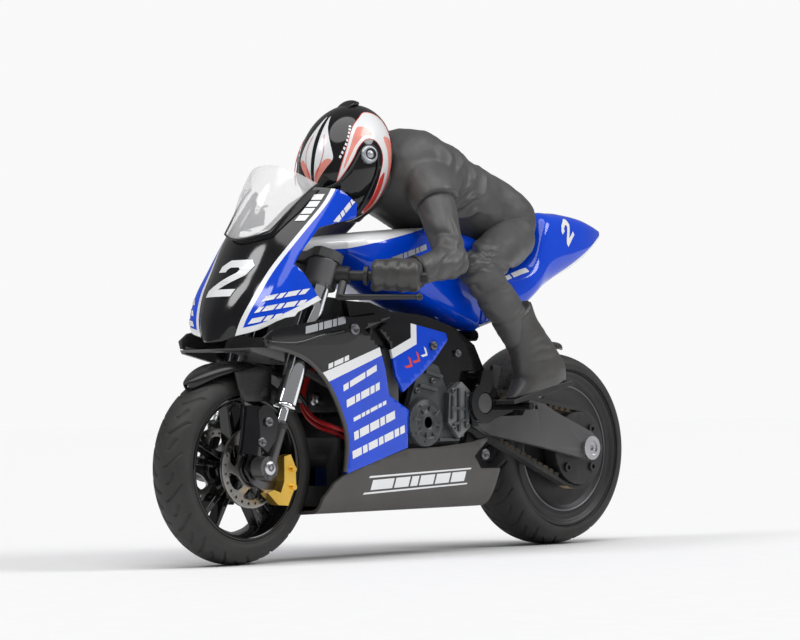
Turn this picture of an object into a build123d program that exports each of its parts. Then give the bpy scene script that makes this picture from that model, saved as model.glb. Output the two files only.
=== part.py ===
from build123d import *
import math
import os

# One-tenth scale radio-controlled racing motorcycle with a rider figure, in millimetres.
# +X is forward, +Y is the rider's left, +Z is up. The origin is on the ground, under the
# middle of the wheelbase and overall length. The model is stored standing upright.

os.makedirs("parts", exist_ok=True)

# ---------------------------------------------------------------- driving dimensions
FRONT_RADIUS = 29.5          # front tyre, outside
REAR_RADIUS = 32.4           # rear tyre, outside
FRONT_AXLE = Vector(74.3, 0, FRONT_RADIUS)
REAR_AXLE = Vector(-71.5, 0, REAR_RADIUS)
FRONT_WIDTH = 14.0           # front tyre, overall
REAR_WIDTH = 19.8            # rear tyre, overall
RIM_CLEAR = 0.03             # gap between a shaft or bearing and its seat
RUN_CLEAR = 0.06             # radial clearance of a running or sliding fit
GAP = 0.3                    # gap between covers on neighbouring bodies

RAKE = math.radians(22.9)    # steering axis, back from vertical
FORK_Y = 14.0                # fork legs, either side of the middle
FORK_OFFSET = 4.0            # fork tubes ahead of the steering axis
AXLE_LEAD = 0.95             # front axle ahead of the fork tubes
TUBE_RADIUS = 3.4            # chrome outer tube
ROD_RADIUS = 1.65            # chrome rod that slides in it
STEM_RADIUS = 2.0

AXLE_R_FRONT = 1.5
AXLE_R_REAR = 2.0
BEARING_R_FRONT = 3.0
BEARING_R_REAR = 4.0
BEARING_WIDTH = 2.5

PIVOT = Vector(-18.0, 0, 48.0)        # swingarm pivot, and the layshaft that it turns on
PIVOT_R = 2.0
ARM_INNER_Y = 16.8                    # inner face of each swingarm leg
ARM_OUTER_Y = 19.5
SPAR_INNER_Y = 14.3                   # frame side plates
SPAR_OUTER_Y = 16.4

SHOCK_TOP = Vector(-21.0, 0, 70.0)    # upper and lower pins of the rear shock absorber
SHOCK_FOOT = Vector(-30.0, 0, 45.5)

BELT_PITCH = 3.0
REAR_TEETH = 27
FRONT_TEETH = 13
BELT_Y0 = 10.4
BELT_Y1 = 14.0
BELT_OUTSIDE = 0.8                    # belt back outside the pitch line
BELT_INSIDE = 0.4                     # belt back inside the pitch line
BELT_TOOTH = 1.2
REAR_PITCH_R = REAR_TEETH * BELT_PITCH / (2 * math.pi)
FRONT_PITCH_R = FRONT_TEETH * BELT_PITCH / (2 * math.pi)

GEAR_MODULE = 0.5
SPUR_TEETH = 48
PINION_TEETH = 16
GEAR_Y0 = -13.0                       # spur gear and pinion, right-hand side
GEAR_Y1 = -10.0
MOTOR_R = 12.0
MOTOR_AXIS = PIVOT + Vector((SPUR_TEETH + PINION_TEETH) * GEAR_MODULE / 2, 0, 0)

HORN_REACH = 32.0                     # servo output behind the steering axis
HORN_ARM = 9.0                        # servo horn and clamp arm, pin to centre
HORN_LEVEL = 33.4                     # underside of the horn, along the steering axis
LINK_PIN_R = 0.8

# ---------------------------------------------------------------- derived directions
FORK_UP = Vector(-math.sin(RAKE), 0, math.cos(RAKE))
FORK_FORWARD = Vector(math.cos(RAKE), 0, math.sin(RAKE))
STEER_BASE = FRONT_AXLE - FORK_FORWARD * (FORK_OFFSET + AXLE_LEAD)


# ---------------------------------------------------------------- building helpers
def fork_point(forward, side, up):
    """A point measured from the steering axis: ahead of it, to the left, along it from the axle."""
    return STEER_BASE + FORK_FORWARD * forward + Vector(0, side, 0) + FORK_UP * up


def rod(start, end, radius, end_radius=None):
    """A round bar, or a cone, between two points."""
    start = Vector(start)
    along = Vector(end) - start
    plane = Plane(origin=start, z_dir=along)
    if end_radius is None:
        return Solid.make_cylinder(radius, along.length, plane)
    return Solid.make_cone(radius, end_radius, along.length, plane)


def across(centre, radius, y0, y1):
    """A round bar along Y, on the axis through centre."""
    return rod((centre.X, y0, centre.Z), (centre.X, y1, centre.Z), radius)


def ring_across(centre, outer, inner, y0, y1):
    return across(centre, outer, y0, y1) - across(centre, inner, y0 - 1, y1 + 1)


def plate(points, y0, y1):
    """A flat plate whose side view is the closed outline of (x, z) points."""
    plane = Plane(origin=(0, y0, 0), x_dir=(1, 0, 0), z_dir=(0, -1, 0))
    outline = plane * make_face(Polyline(*points, close=True))
    return extrude(outline, amount=y0 - y1)


def along_x(profile, x0, x1):
    """A bar along X whose cross-section is the closed outline of (y, z) points."""
    plane = Plane(origin=(x0, 0, 0), x_dir=(0, 1, 0), z_dir=(1, 0, 0))
    return extrude(plane * make_face(Polyline(*profile, close=True)), amount=x1 - x0)


def block(x0, x1, y0, y1, z0, z1):
    return Pos((x0 + x1) / 2, (y0 + y1) / 2, (z0 + z1) / 2) * Box(x1 - x0, y1 - y0, z1 - z0)


def turned(profile, centre):
    """A ring turned about the Y axis through centre, from a closed face in radius and width."""
    return Pos(*centre) * Rot(-90, 0, 0) * revolve(profile, Axis.Z)


def turned_outline(points, centre):
    corners = [(radius, 0, width) for radius, width in points]
    return turned(make_face(Polyline(*corners, close=True)), centre)


def limb(stations):
    """A smooth tapering form through ellipses: (centre, direction, half width, half depth)."""
    sections = []
    for centre, direction, across_y, other in stations:
        plane = Plane(origin=centre, x_dir=(0, 1, 0), z_dir=direction)
        sections.append(plane * Ellipse(across_y, other))
    return loft(sections)


def largest(piece):
    """The main solid of a cut, without the crumbs."""
    return piece.solids().sort_by(SortBy.VOLUME)[-1]


def mirrored(piece):
    return mirror(piece, about=Plane.XZ)


def pair(piece):
    return piece, mirrored(piece)


def gear(teeth, y0, y1, centre, phase):
    """A spur gear with straight-sided teeth; phase is the angle of its first tooth."""
    pitch_r = teeth * GEAR_MODULE / 2
    tip, root = pitch_r + 0.8 * GEAR_MODULE, pitch_r - 1.1 * GEAR_MODULE
    step = 2 * math.pi / teeth
    corners = []
    for tooth in range(teeth):
        middle = phase + tooth * step
        for radius, share in ((root, -0.32), (tip, -0.12), (tip, 0.12), (root, 0.32)):
            angle = middle + share * step
            corners.append((centre.X + radius * math.cos(angle), centre.Z + radius * math.sin(angle)))
    return plate(corners, y0, y1)


def save(name, *pieces):
    solids = [solid for piece in pieces for solid in piece.solids()]
    export_step(Compound(children=solids, label=name), f"parts/{name}.step")


# ---------------------------------------------------------------- front wheel
FRONT_RIM_R = 22.1
SPOKES = 5


def front_tyre():
    bead, shoulder = 6.0, FRONT_WIDTH / 2
    edge = Polyline((24.3, shoulder), (FRONT_RIM_R + GAP / 10, bead), (FRONT_RIM_R + GAP / 10, -bead),
                    (24.3, -shoulder))
    crown = ThreePointArc((24.3, shoulder), (FRONT_RADIUS, 0), (24.3, -shoulder))
    outline = Plane.XZ * make_face(edge + crown)
    return turned(outline, FRONT_AXLE)


def front_rim():
    lip, well = 6.3, 20.6
    ring = turned_outline([(FRONT_RIM_R, -5.9), (FRONT_RIM_R, 5.9), (FRONT_RIM_R - 0.4, lip), (21.0, lip),
                           (19.6, 3.4), (19.6, -3.4), (21.0, -lip), (FRONT_RIM_R - 0.4, -lip)], FRONT_AXLE)
    hub = across(FRONT_AXLE, 5.0, -8.4, 8.4)
    rim = ring + hub
    for number in range(SPOKES):
        angle = math.radians(90 + number * 360 / SPOKES)
        for lean in (-9, 9):
            tip_angle = angle + math.radians(lean)
            root = FRONT_AXLE + Vector(math.cos(angle), 0, math.sin(angle)) * 3.6
            tip = FRONT_AXLE + Vector(math.cos(tip_angle), 0, math.sin(tip_angle)) * well
            middle = (root + tip) * 0.5
            length = (tip - root).length
            turn = math.degrees(math.atan2(tip.Z - root.Z, tip.X - root.X))
            spoke = Pos(*middle) * Rot(0, -turn, 0) * Box(length, 4.6, 2.3)
            rim += spoke
    rim -= across(FRONT_AXLE, AXLE_R_FRONT + 0.4, -9, 9)
    for side in (-1, 1):
        outer, inner = side * 9.0, side * (8.4 - BEARING_WIDTH)
        rim -= across(FRONT_AXLE, BEARING_R_FRONT + RIM_CLEAR, min(outer, inner), max(outer, inner))
    return rim


def bearings(centre, outer, inner, reach):
    left = ring_across(centre, outer, inner, reach - BEARING_WIDTH, reach)
    return pair(left)


def brake_disc():
    disc = ring_across(FRONT_AXLE, 12.2, 5.0 + RIM_CLEAR, 7.2, 8.2)
    for number in range(6):
        angle = math.radians(30 + number * 60)
        window = FRONT_AXLE + Vector(math.cos(angle), 0, math.sin(angle)) * 7.4
        disc -= across(window, 1.5, 6, 9)
    for number in range(12):
        angle = math.radians(number * 30)
        hole = FRONT_AXLE + Vector(math.cos(angle), 0, math.sin(angle)) * 10.6
        disc -= across(hole, 0.55, 6, 9)
    return disc


# ---------------------------------------------------------------- front fork, unsprung half
LEG_TOP = 14.0               # black leg ends here, along the fork from the axle
TUBE_FOOT = 20.5
TUBE_TOP = 72.0
ROD_TOP = 40.0
BUSH_TOP = 27.0
SPRING_R = 2.5


def fork_leg(side):
    """One leg: black lower leg with an axle boss, and the chrome rod above it."""
    y = side * FORK_Y
    leg = rod(fork_point(FORK_OFFSET, y, -3.4), fork_point(FORK_OFFSET, y, LEG_TOP), 2.4)
    boss = across(FRONT_AXLE, 3.6, side * 11.6, side * 16.2)
    upper = rod(fork_point(FORK_OFFSET, y, LEG_TOP - 2), fork_point(FORK_OFFSET, y, ROD_TOP), ROD_RADIUS)
    return leg + boss + upper - across(FRONT_AXLE, AXLE_R_FRONT + RIM_CLEAR, side * 8, side * 18)


def fork_guard():
    """Moulded cover ahead of the leg, with the ear that its two screws go through."""
    ear = plate([(76.5, 48.4), (73.9, 47.4), (71.5, 43.4), (73.0, 37.9), (76.3, 34.2), (79.0, 36.0),
                 (80.0, 47.0)], 16.5, 17.6)
    shell = rod((77.6, FORK_Y, 47.8), (80.6, FORK_Y, 33.4), 3.6)
    shell -= rod((77.2, FORK_Y, 50), (81.0, FORK_Y, 31), 2.7)
    leg_room = rod(fork_point(FORK_OFFSET, FORK_Y, -6), fork_point(FORK_OFFSET, FORK_Y, 30), 2.6)
    shell -= plate([(62, 28), (62, 52), (75.4, 52), (79.6, 30)], 8, 20)
    shell -= across(FRONT_AXLE, 4.1, 8, 20)
    return (ear + shell) - leg_room


def front_fender():
    """Mudguard over the tyre, with a short skirt each side down to the fork guards."""
    inner, outer, half = 31.4, 32.6, 8.6
    shell = turned_outline([(inner, -half), (outer - 0.7, -half), (outer, -half + 1.6), (outer, half - 1.6),
                            (outer - 0.7, half), (inner, half)], FRONT_AXLE)
    skirt = ring_across(FRONT_AXLE, inner, 25.5, 7.7, half)
    keep = [(0, 0)]
    for degrees in (54, 75, 98, 122, 148):
        angle = math.radians(degrees)
        keep.append((70 * math.cos(angle), 70 * math.sin(angle)))
    sector = plate([(x + FRONT_AXLE.X, z + FRONT_AXLE.Z) for x, z in keep], -12, 12)
    side = plate([(66.5, 48.0), (66.0, 64), (82.5, 64), (80.8, 53.6), (78.6, 50.0)], -12, 12)
    return (shell & sector) + (skirt & side) + (mirrored(skirt) & side)


def front_axle():
    shaft = across(FRONT_AXLE, AXLE_R_FRONT, -16.9, 16.9)
    collars = ring_across(FRONT_AXLE, 2.6, AXLE_R_FRONT + RIM_CLEAR, 8.6, 11.4)
    return shaft, collars, mirrored(collars)


def brake_caliper():
    """Slim caliper behind the leg, on a carrier plate that reaches forward round the axle's boss."""
    body = plate([(65.8, 32.8), (63.0, 33.4), (61.0, 29.5), (60.9, 24.0), (63.0, 20.6), (64.4, 17.8),
                  (68.6, 18.2), (72.9, 21.9), (70.2, 22.8), (67.4, 21.8), (65.9, 25.4), (65.8, 29.0)],
                 10.4, 13.8)
    carrier = plate([(64.6, 22.0), (64.6, 31.0), (70.0, 34.0), (76.6, 33.6), (78.6, 29.0), (75.4, 24.4),
                     (70.0, 21.8)], 9.4, 10.4)
    carrier -= across(FRONT_AXLE, 2.9, 8, 12)
    body -= across(FRONT_AXLE, 4.2, 8, 20)
    body -= rod(fork_point(FORK_OFFSET, FORK_Y, -8), fork_point(FORK_OFFSET, FORK_Y, 20), 2.6)
    bolts = [across(Vector(62.4, 0, z), 0.9, 13.8, 14.8) for z in (23.4, 28.8)]
    return [body + carrier] + bolts


# ---------------------------------------------------------------- steering, sprung half
def fork_tube():
    """Chrome outer tube: a close bush at the foot, and a wider bore for the spring above it."""
    def along(start, end, radius):
        return rod(fork_point(FORK_OFFSET, FORK_Y, start), fork_point(FORK_OFFSET, FORK_Y, end), radius)
    tube = along(TUBE_FOOT, TUBE_TOP, TUBE_RADIUS)
    tube -= along(TUBE_FOOT - 1, BUSH_TOP + 1, ROD_RADIUS + RUN_CLEAR)
    return tube - along(BUSH_TOP, TUBE_TOP - 4, SPRING_R + 0.2)


def fork_spring():
    """Coil spring between the rod's top and the tube's cap, as a tube of its outer size."""
    start, end = ROD_TOP + 0.1, TUBE_TOP - 4.1
    outer = rod(fork_point(FORK_OFFSET, FORK_Y, start), fork_point(FORK_OFFSET, FORK_Y, end), SPRING_R)
    inner = rod(fork_point(FORK_OFFSET, FORK_Y, start - 1), fork_point(FORK_OFFSET, FORK_Y, end + 1),
                SPRING_R - 0.6)
    return outer - inner


def fork_plane(up):
    """Work plane square to the steering axis: local x is forward, local y is to the left."""
    return Plane(origin=fork_point(0, 0, up), x_dir=FORK_FORWARD, z_dir=FORK_UP)


CLAMP_LEVEL = 38.0
CLAMP_HEIGHT = 5.0
TOP_CLAMP_LEVEL = 69.0
TOP_CLAMP_HEIGHT = 3.0


def clamp(up, height):
    """Triple clamp: a bridge between the fork tubes and the stem, cut by their bores."""
    corners = [(-4.5, 0), (-3.5, 7), (0.5, 17.4), (2.6, 18.1), (5.6, 17.7), (8.8, 15.2), (8.8, 12.5),
               (6.0, 6.0)]
    outline = corners + [(x, -y) for x, y in reversed(corners[1:])]
    bridge = extrude(fork_plane(up) * make_face(Polyline(*outline, close=True)), amount=height)
    for side in (-1, 1):
        start = fork_point(FORK_OFFSET, side * FORK_Y, up - 5)
        end = fork_point(FORK_OFFSET, side * FORK_Y, up + height + 5)
        bridge -= rod(start, end, TUBE_RADIUS + RIM_CLEAR)
    return bridge - rod(fork_point(0, 0, up - 6), fork_point(0, 0, up + height + 6), STEM_RADIUS + RIM_CLEAR)


def lower_clamp():
    """Lower triple clamp, with the pin that the steering link turns on."""
    pin = rod(fork_point(0, HORN_ARM, HORN_LEVEL + 1.5), fork_point(0, HORN_ARM, CLAMP_LEVEL + 1), LINK_PIN_R)
    return clamp(CLAMP_LEVEL, CLAMP_HEIGHT) + pin


def steering_stem():
    top = TOP_CLAMP_LEVEL + TOP_CLAMP_HEIGHT + 1
    return rod(fork_point(0, 0, CLAMP_LEVEL - 1), fork_point(0, 0, top), STEM_RADIUS)


BAR_UP = 64.4
BAR_SWEEP = Vector(-0.57, 0.82, -0.05).normalized()
BAR_ROOT = fork_point(FORK_OFFSET, FORK_Y, BAR_UP)
BAR_RADIUS = 1.6


def bar_point(distance, forward=0.0, up=0.0):
    return BAR_ROOT + BAR_SWEEP * distance + Vector(forward, 0, up)


def clip_on():
    """Ring clamp round the fork tube with the handlebar stub that it carries."""
    ring = rod(fork_point(FORK_OFFSET, FORK_Y, 60.5), fork_point(FORK_OFFSET, FORK_Y, 68.0), 5.2)
    ear = rod(bar_point(3.5), bar_point(8.5), 2.8)
    bar = rod(bar_point(4), bar_point(33), BAR_RADIUS)
    flange = rod(bar_point(13.2), bar_point(14.4), 3.0)
    bore_foot, bore_head = fork_point(FORK_OFFSET, FORK_Y, 58), fork_point(FORK_OFFSET, FORK_Y, 71)
    bore = rod(bore_foot, bore_head, TUBE_RADIUS + RIM_CLEAR)
    return ring + ear + bar + flange - bore


def brake_lever():
    """Lever with its bracket, ahead of the grip and a little below it."""
    bracket = rod(bar_point(8.0, 2.2, -2.5), bar_point(11.0, 8.0, -6.8), 1.3)
    blade = rod(bar_point(10.0, 7.6, -6.8), bar_point(33.0, 4.2, -6.0), 1.0, 0.8)
    knob = Pos(*bar_point(33.0, 4.2, -6.0)) * Sphere(1.2)
    return bracket + blade + knob - rod(bar_point(2), bar_point(36), BAR_RADIUS + 0.05) - \
        rod(bar_point(3.4), bar_point(8.6), 2.85)


def rider_glove():
    """Closed hand round the grip."""
    fist = limb([(bar_point(15.4), BAR_SWEEP, 3.6, 4.2), (bar_point(20), BAR_SWEEP, 4.4, 5.2),
                 (bar_point(26), BAR_SWEEP, 4.2, 4.9), (bar_point(30.5), BAR_SWEEP, 3.0, 3.4)])
    return fist - rod(bar_point(2), bar_point(40), BAR_RADIUS + 0.05)


# ---------------------------------------------------------------- chassis and drive
def frame_spar():
    """Side plate of the frame, from behind the steering head down to the swingarm pivot."""
    side = plate([(40.5, 80.5), (30.0, 80.0), (20.3, 77.3), (4.2, 76.0), (-9.0, 72.5), (-18.4, 66.8),
                  (-23.0, 58.7), (-23.8, 47.0), (-20.0, 42.0), (-13.0, 42.5), (-6.0, 50.0), (-1.0, 60.0),
                  (8.0, 63.0), (24.0, 66.0), (38.0, 71.0)], SPAR_INNER_Y, SPAR_OUTER_Y)
    side -= across(Vector(-9.7, 0, 64.2), 1.2, 10, 20)
    return side - across(PIVOT, PIVOT_R + RIM_CLEAR, 10, 20)


def frame_bridges():
    """Cross pieces between the side plates: the shock's upper mount and a front brace."""
    inner = SPAR_INNER_Y
    shock_bar = across(SHOCK_TOP, 1.8, -inner, inner) - across(SHOCK_TOP, 4, -2.4, 2.4)
    pin = across(SHOCK_TOP, 0.9, -2.4, 2.4)
    brace = block(26, 30, -inner, inner, 72, 76)
    return shock_bar + pin, brace


def steering_head():
    """Bearing tube for the stem, with the block that ties it to both side plates."""
    foot = fork_point(0, 0, CLAMP_LEVEL + CLAMP_HEIGHT + 0.3)
    tube = rod(foot, fork_point(0, 0, TOP_CLAMP_LEVEL - 0.3), 5.2)
    outline = Polyline((-17, -SPAR_INNER_Y), (-7, -SPAR_INNER_Y), (-3, -5), (-3, 5), (-7, SPAR_INNER_Y),
                       (-17, SPAR_INNER_Y), close=True)
    tie = extrude(fork_plane(50) * make_face(outline), amount=11)
    bore = rod(fork_point(0, 0, 30), fork_point(0, 0, 80), STEM_RADIUS + RUN_CLEAR)
    return tube + tie - bore


TRAY_HALF = 12.4
TRAY_TOP = 18.2
BATTERY_TOP = 31.0


def chassis_tray():
    """Floor, front wall with its window, battery rails and the posts up to the frame, in one moulding."""
    floor = block(-22, 41.5, -TRAY_HALF, TRAY_HALF, 16.6, TRAY_TOP)
    wall = block(40, 41.5, -TRAY_HALF, TRAY_HALF, TRAY_TOP, 38.0) - block(39, 43, -7.5, 7.5, 23, 33)
    rail = block(-20, 26, 11.2, TRAY_HALF, TRAY_TOP, BATTERY_TOP)
    post = block(15.5, 22.5, 11.2, SPAR_INNER_Y, BATTERY_TOP, 70)
    tray = floor + wall + rail + mirrored(rail) + post + mirrored(post)
    for x in (-16, 4, 24):
        tray += Pos(x, 0, 16.1) * Cylinder(2.0, 1.0)
    bridge = block(-13, 12, -TRAY_HALF, -8.5, BATTERY_TOP, 32.5)
    return tray + bridge


def battery_pack():
    return fillet(block(-19, 28, -11, 11, TRAY_TOP, BATTERY_TOP - 0.1).edges().filter_by(Axis.X), 2)


def speed_controller():
    case = block(-2, 22, -9, 9, 62.5, 70.0)
    fins = [block(x, x + 1, -8, 8, 70.0, 71.8) for x in range(0, 20, 3)]
    for fin in fins:
        case += fin
    return case


def receiver():
    return fillet(block(-16, -4, -8, 8, 64.0, 69.0).edges(), 0.6)


def steering_servo():
    """Servo with its gear case on top; its output turns on an axis parallel to the stem."""
    def at(forward0, forward1, side0, side1, up0, up1):
        outline = Polyline((forward0, side0), (forward1, side0), (forward1, side1), (forward0, side1),
                           close=True)
        return extrude(fork_plane(up0) * make_face(outline), amount=up1 - up0)
    body = at(-HORN_REACH - 4.2, -HORN_REACH + 4.2, -14.2, 5.5, 16, 30)
    lugs = at(-HORN_REACH - 4.2, -HORN_REACH + 4.2, 5.5, 8.5, 25, 26.2)
    neck = rod(fork_point(-HORN_REACH, 0, 30), fork_point(-HORN_REACH, 0, 32.0), 3.2)
    spline = rod(fork_point(-HORN_REACH, 0, 32), fork_point(-HORN_REACH, 0, HORN_LEVEL + 1.6), 1.0)
    return body + lugs + neck + spline


def servo_horn():
    axis = fork_point(-HORN_REACH, 0, HORN_LEVEL)
    disc = rod(axis - FORK_UP * 0.9, axis + FORK_UP * 1.2, 2.2)
    arm = Polyline((-HORN_REACH - 1.7, 0), (-HORN_REACH + 1.7, 0), (-HORN_REACH + 1.1, HORN_ARM + 1.2),
                   (-HORN_REACH - 1.1, HORN_ARM + 1.2), close=True)
    arm_solid = extrude(fork_plane(HORN_LEVEL) * make_face(arm), amount=1.2)
    pin_foot = fork_point(-HORN_REACH, HORN_ARM, HORN_LEVEL)
    pin = rod(pin_foot, pin_foot + FORK_UP * 3.4, LINK_PIN_R)
    bore = rod(fork_point(-HORN_REACH, 0, 28), fork_point(-HORN_REACH, 0, 40), 1.0 + RUN_CLEAR)
    return disc + arm_solid + pin - bore


def steering_link():
    """Flat link between the horn's pin and the clamp's pin."""
    level = HORN_LEVEL + 1.7
    bar = Polyline((-HORN_REACH, HORN_ARM - 1.2), (0, HORN_ARM - 1.2), (0, HORN_ARM + 1.2),
                   (-HORN_REACH, HORN_ARM + 1.2), close=True)
    link = extrude(fork_plane(level) * make_face(bar), amount=1.4)
    for forward in (-HORN_REACH, 0):
        link += rod(fork_point(forward, HORN_ARM, level), fork_point(forward, HORN_ARM, level + 1.4), 1.9)
    for forward, room in ((-HORN_REACH, RUN_CLEAR), (0, 0.15)):
        foot = fork_point(forward, HORN_ARM, level - 2)
        link -= rod(foot, foot + FORK_UP * 5, LINK_PIN_R + room)
    return link


def drive_motor():
    """Motor can, with cooling slots at its open end and a boss towards the gears."""
    can = across(MOTOR_AXIS, MOTOR_R, -8.5, 9.8)
    can += across(MOTOR_AXIS, 4.0, -9.4, -8.5)
    for number in range(8):
        angle = math.radians(number * 45)
        slot = MOTOR_AXIS + Vector(math.cos(angle), 0, math.sin(angle)) * 8.5
        can -= across(slot, 1.4, 8.3, 10.3)
    return can - across(MOTOR_AXIS, 1.0 + RUN_CLEAR, -10, 8)


def motor_mount():
    """Plate across the gear side of the motor, standing on the tray."""
    face = plate([(-13, 32.5), (-13, 44), (-9, 60), (6, 60), (12, 44), (12, 32.5)], -9.5, -8.5)
    return face - across(MOTOR_AXIS, 4.0 + RIM_CLEAR, -10, -8) - across(PIVOT, 4.0, -10, -8)


def motor_pinion():
    """Motor shaft with its pinion; a gap of the pinion faces the spur gear."""
    shaft = across(MOTOR_AXIS, 1.0, GEAR_Y0 - 0.6, 7.5)
    half_step = math.pi / PINION_TEETH
    return shaft + gear(PINION_TEETH, GEAR_Y0, GEAR_Y1, MOTOR_AXIS, math.pi + half_step)


def front_pulley():
    """Layshaft sleeve: spur gear on the right, toothed belt wheel between flanges on the left."""
    sleeve = across(PIVOT, 3.4, GEAR_Y0, BELT_Y1 + 0.1)
    wheel = gear(SPUR_TEETH, GEAR_Y0, GEAR_Y1, PIVOT, 0)
    drum = across(PIVOT, FRONT_PITCH_R - 0.75, BELT_Y0 - 0.2, BELT_Y1 + 0.1)
    return sleeve + wheel + drum - across(PIVOT, PIVOT_R + RUN_CLEAR, -20, 20)


def swingarm_pivot():
    shaft = across(PIVOT, PIVOT_R, -19.9, 19.9)
    head = across(PIVOT, 3.2, 19.9, 21.0)
    return shaft + head + mirrored(head)


# ---------------------------------------------------------------- swingarm and rear wheel
def swingarm():
    """Two legs joined by a cross member ahead of the tyre, with the shock's lower lugs."""
    leg = plate([(-14.9, 46.0), (-14.8, 49.0), (-17.5, 51.4), (-21.2, 49.6), (-23.0, 43.6), (-38.0, 43.8),
                 (-41.5, 48.8), (-48.5, 47.6), (-56.0, 44.2), (-73.0, 37.8), (-77.0, 34.8), (-76.6, 30.0),
                 (-72.5, 28.3), (-47.0, 33.4), (-22.0, 37.8), (-16.5, 40.5)], ARM_INNER_Y, ARM_OUTER_Y)
    leg -= across(PIVOT, PIVOT_R + RUN_CLEAR, 10, 25)
    leg -= across(REAR_AXLE, AXLE_R_REAR + RIM_CLEAR, 10, 25)
    leg -= across(Vector(-44.9, 0, 46.4), 0.8, 10, 25)
    bar = block(-34, -27.4, -ARM_OUTER_Y, ARM_OUTER_Y, 39.8, 43.4)
    bar -= across(PIVOT, SPUR_TEETH * GEAR_MODULE / 2 + 1.2, GEAR_Y0 - 0.6, GEAR_Y1 + 0.6)
    lug = plate([(-33, 43), (-31.6, 47), (-28.4, 47), (-27, 43)], 2.2, 4.4)
    pin = across(SHOCK_FOOT, 0.9, -4.4, 4.4)
    return leg + mirrored(leg) + bar + lug + mirrored(lug) + pin


def rear_fender():
    """Hugger over the tyre, standing on the cross member."""
    inner, outer, half = 35.0, 36.2, 10.1
    shell = turned_outline([(inner, -half), (outer - 0.8, -half), (outer, -half + 2), (outer, half - 2),
                            (outer - 0.8, half), (inner, half)], REAR_AXLE)
    keep = [(0, 0)]
    for degrees in (14, 30, 50, 75, 99):
        angle = math.radians(degrees)
        keep.append((60 * math.cos(angle), 60 * math.sin(angle)))
    sector = plate([(x + REAR_AXLE.X, z + REAR_AXLE.Z) for x, z in keep], -14, 14)
    foot = block(-37.0, -34.0, -7.5, 7.5, 40.5, 43.2)
    return (shell & sector) + (foot - across(REAR_AXLE, inner, -20, 20))


def belt_loop(front_r, rear_r):
    """Side view of the belt's run: two arcs joined by the outer tangents, as a face."""
    along = PIVOT - REAR_AXLE
    heading = math.atan2(along.Z, along.X)
    spread = math.acos((rear_r - front_r) / along.length)
    def on_circle(centre, radius, angle):
        return (centre.X + radius * math.cos(angle), centre.Z + radius * math.sin(angle))
    upper, lower = heading + spread, heading - spread
    front = ThreePointArc(on_circle(PIVOT, front_r, lower), on_circle(PIVOT, front_r, heading),
                          on_circle(PIVOT, front_r, upper))
    rear = ThreePointArc(on_circle(REAR_AXLE, rear_r, upper), on_circle(REAR_AXLE, rear_r, heading + math.pi),
                         on_circle(REAR_AXLE, rear_r, lower))
    top = Line(on_circle(PIVOT, front_r, upper), on_circle(REAR_AXLE, rear_r, upper))
    bottom = Line(on_circle(REAR_AXLE, rear_r, lower), on_circle(PIVOT, front_r, lower))
    return make_face(front + top + rear + bottom)


def drive_belt():
    """Toothed belt: a smooth back all round, with its teeth on the two free runs."""
    plane = Plane(origin=(0, BELT_Y0, 0), x_dir=(1, 0, 0), z_dir=(0, -1, 0))
    width = BELT_Y0 - BELT_Y1
    outer_loop = belt_loop(FRONT_PITCH_R + BELT_OUTSIDE, REAR_PITCH_R + BELT_OUTSIDE)
    inner_loop = belt_loop(FRONT_PITCH_R - BELT_INSIDE, REAR_PITCH_R - BELT_INSIDE)
    outside = extrude(plane * outer_loop, amount=width)
    inside = extrude(plane * inner_loop, amount=width)
    belt = outside - inside
    along = PIVOT - REAR_AXLE
    heading = math.atan2(along.Z, along.X)
    slope = math.asin((REAR_PITCH_R - FRONT_PITCH_R) / along.length)
    run = math.sqrt(along.length ** 2 - (REAR_PITCH_R - FRONT_PITCH_R) ** 2)
    for side in (1, -1):
        lean = heading - side * slope
        inward = Vector(side * math.sin(lean), 0, -side * math.cos(lean))
        forward = Vector(math.cos(lean), 0, math.sin(lean))
        start = REAR_AXLE - inward * (REAR_PITCH_R - BELT_INSIDE)
        for number in range(2, int(run / BELT_PITCH) - 1):
            middle = start + forward * (number * BELT_PITCH) + inward * (BELT_TOOTH / 2 - 0.1)
            tooth = Box(1.5, BELT_Y1 - BELT_Y0, BELT_TOOTH + 0.2)
            belt += Pos(middle.X, (BELT_Y0 + BELT_Y1) / 2, middle.Z) * Rot(0, -math.degrees(lean), 0) * tooth
    return belt


def rear_axle():
    """Axle, its spacers, and the bright washer and screw at each end."""
    shaft = across(REAR_AXLE, AXLE_R_REAR, -ARM_OUTER_Y, ARM_OUTER_Y)
    washer = ring_across(REAR_AXLE, 4.0, 2.5, ARM_OUTER_Y, ARM_OUTER_Y + 1.5)
    screw = across(REAR_AXLE, 2.5 - RIM_CLEAR, ARM_OUTER_Y, ARM_OUTER_Y + 1.1)
    socket = Rot(90, 0, 0) * extrude(RegularPolygon(1.1, 6), amount=0.7, both=True)
    screw -= Pos(REAR_AXLE.X, ARM_OUTER_Y + 1.1, REAR_AXLE.Z) * socket
    return [shaft, *pair(washer), *pair(screw)]


REAR_RIM_R = 26.3
REAR_HUB_Y = 10.1


def rear_tyre():
    bead, shoulder = 8.7, REAR_WIDTH / 2
    edge = Polyline((27.7, shoulder), (REAR_RIM_R + GAP / 10, bead), (REAR_RIM_R + GAP / 10, -bead),
                    (27.7, -shoulder))
    crown = ThreePointArc((27.7, shoulder), (REAR_RADIUS, 0), (27.7, -shoulder))
    return turned(Plane.XZ * make_face(edge + crown), REAR_AXLE)


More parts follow.
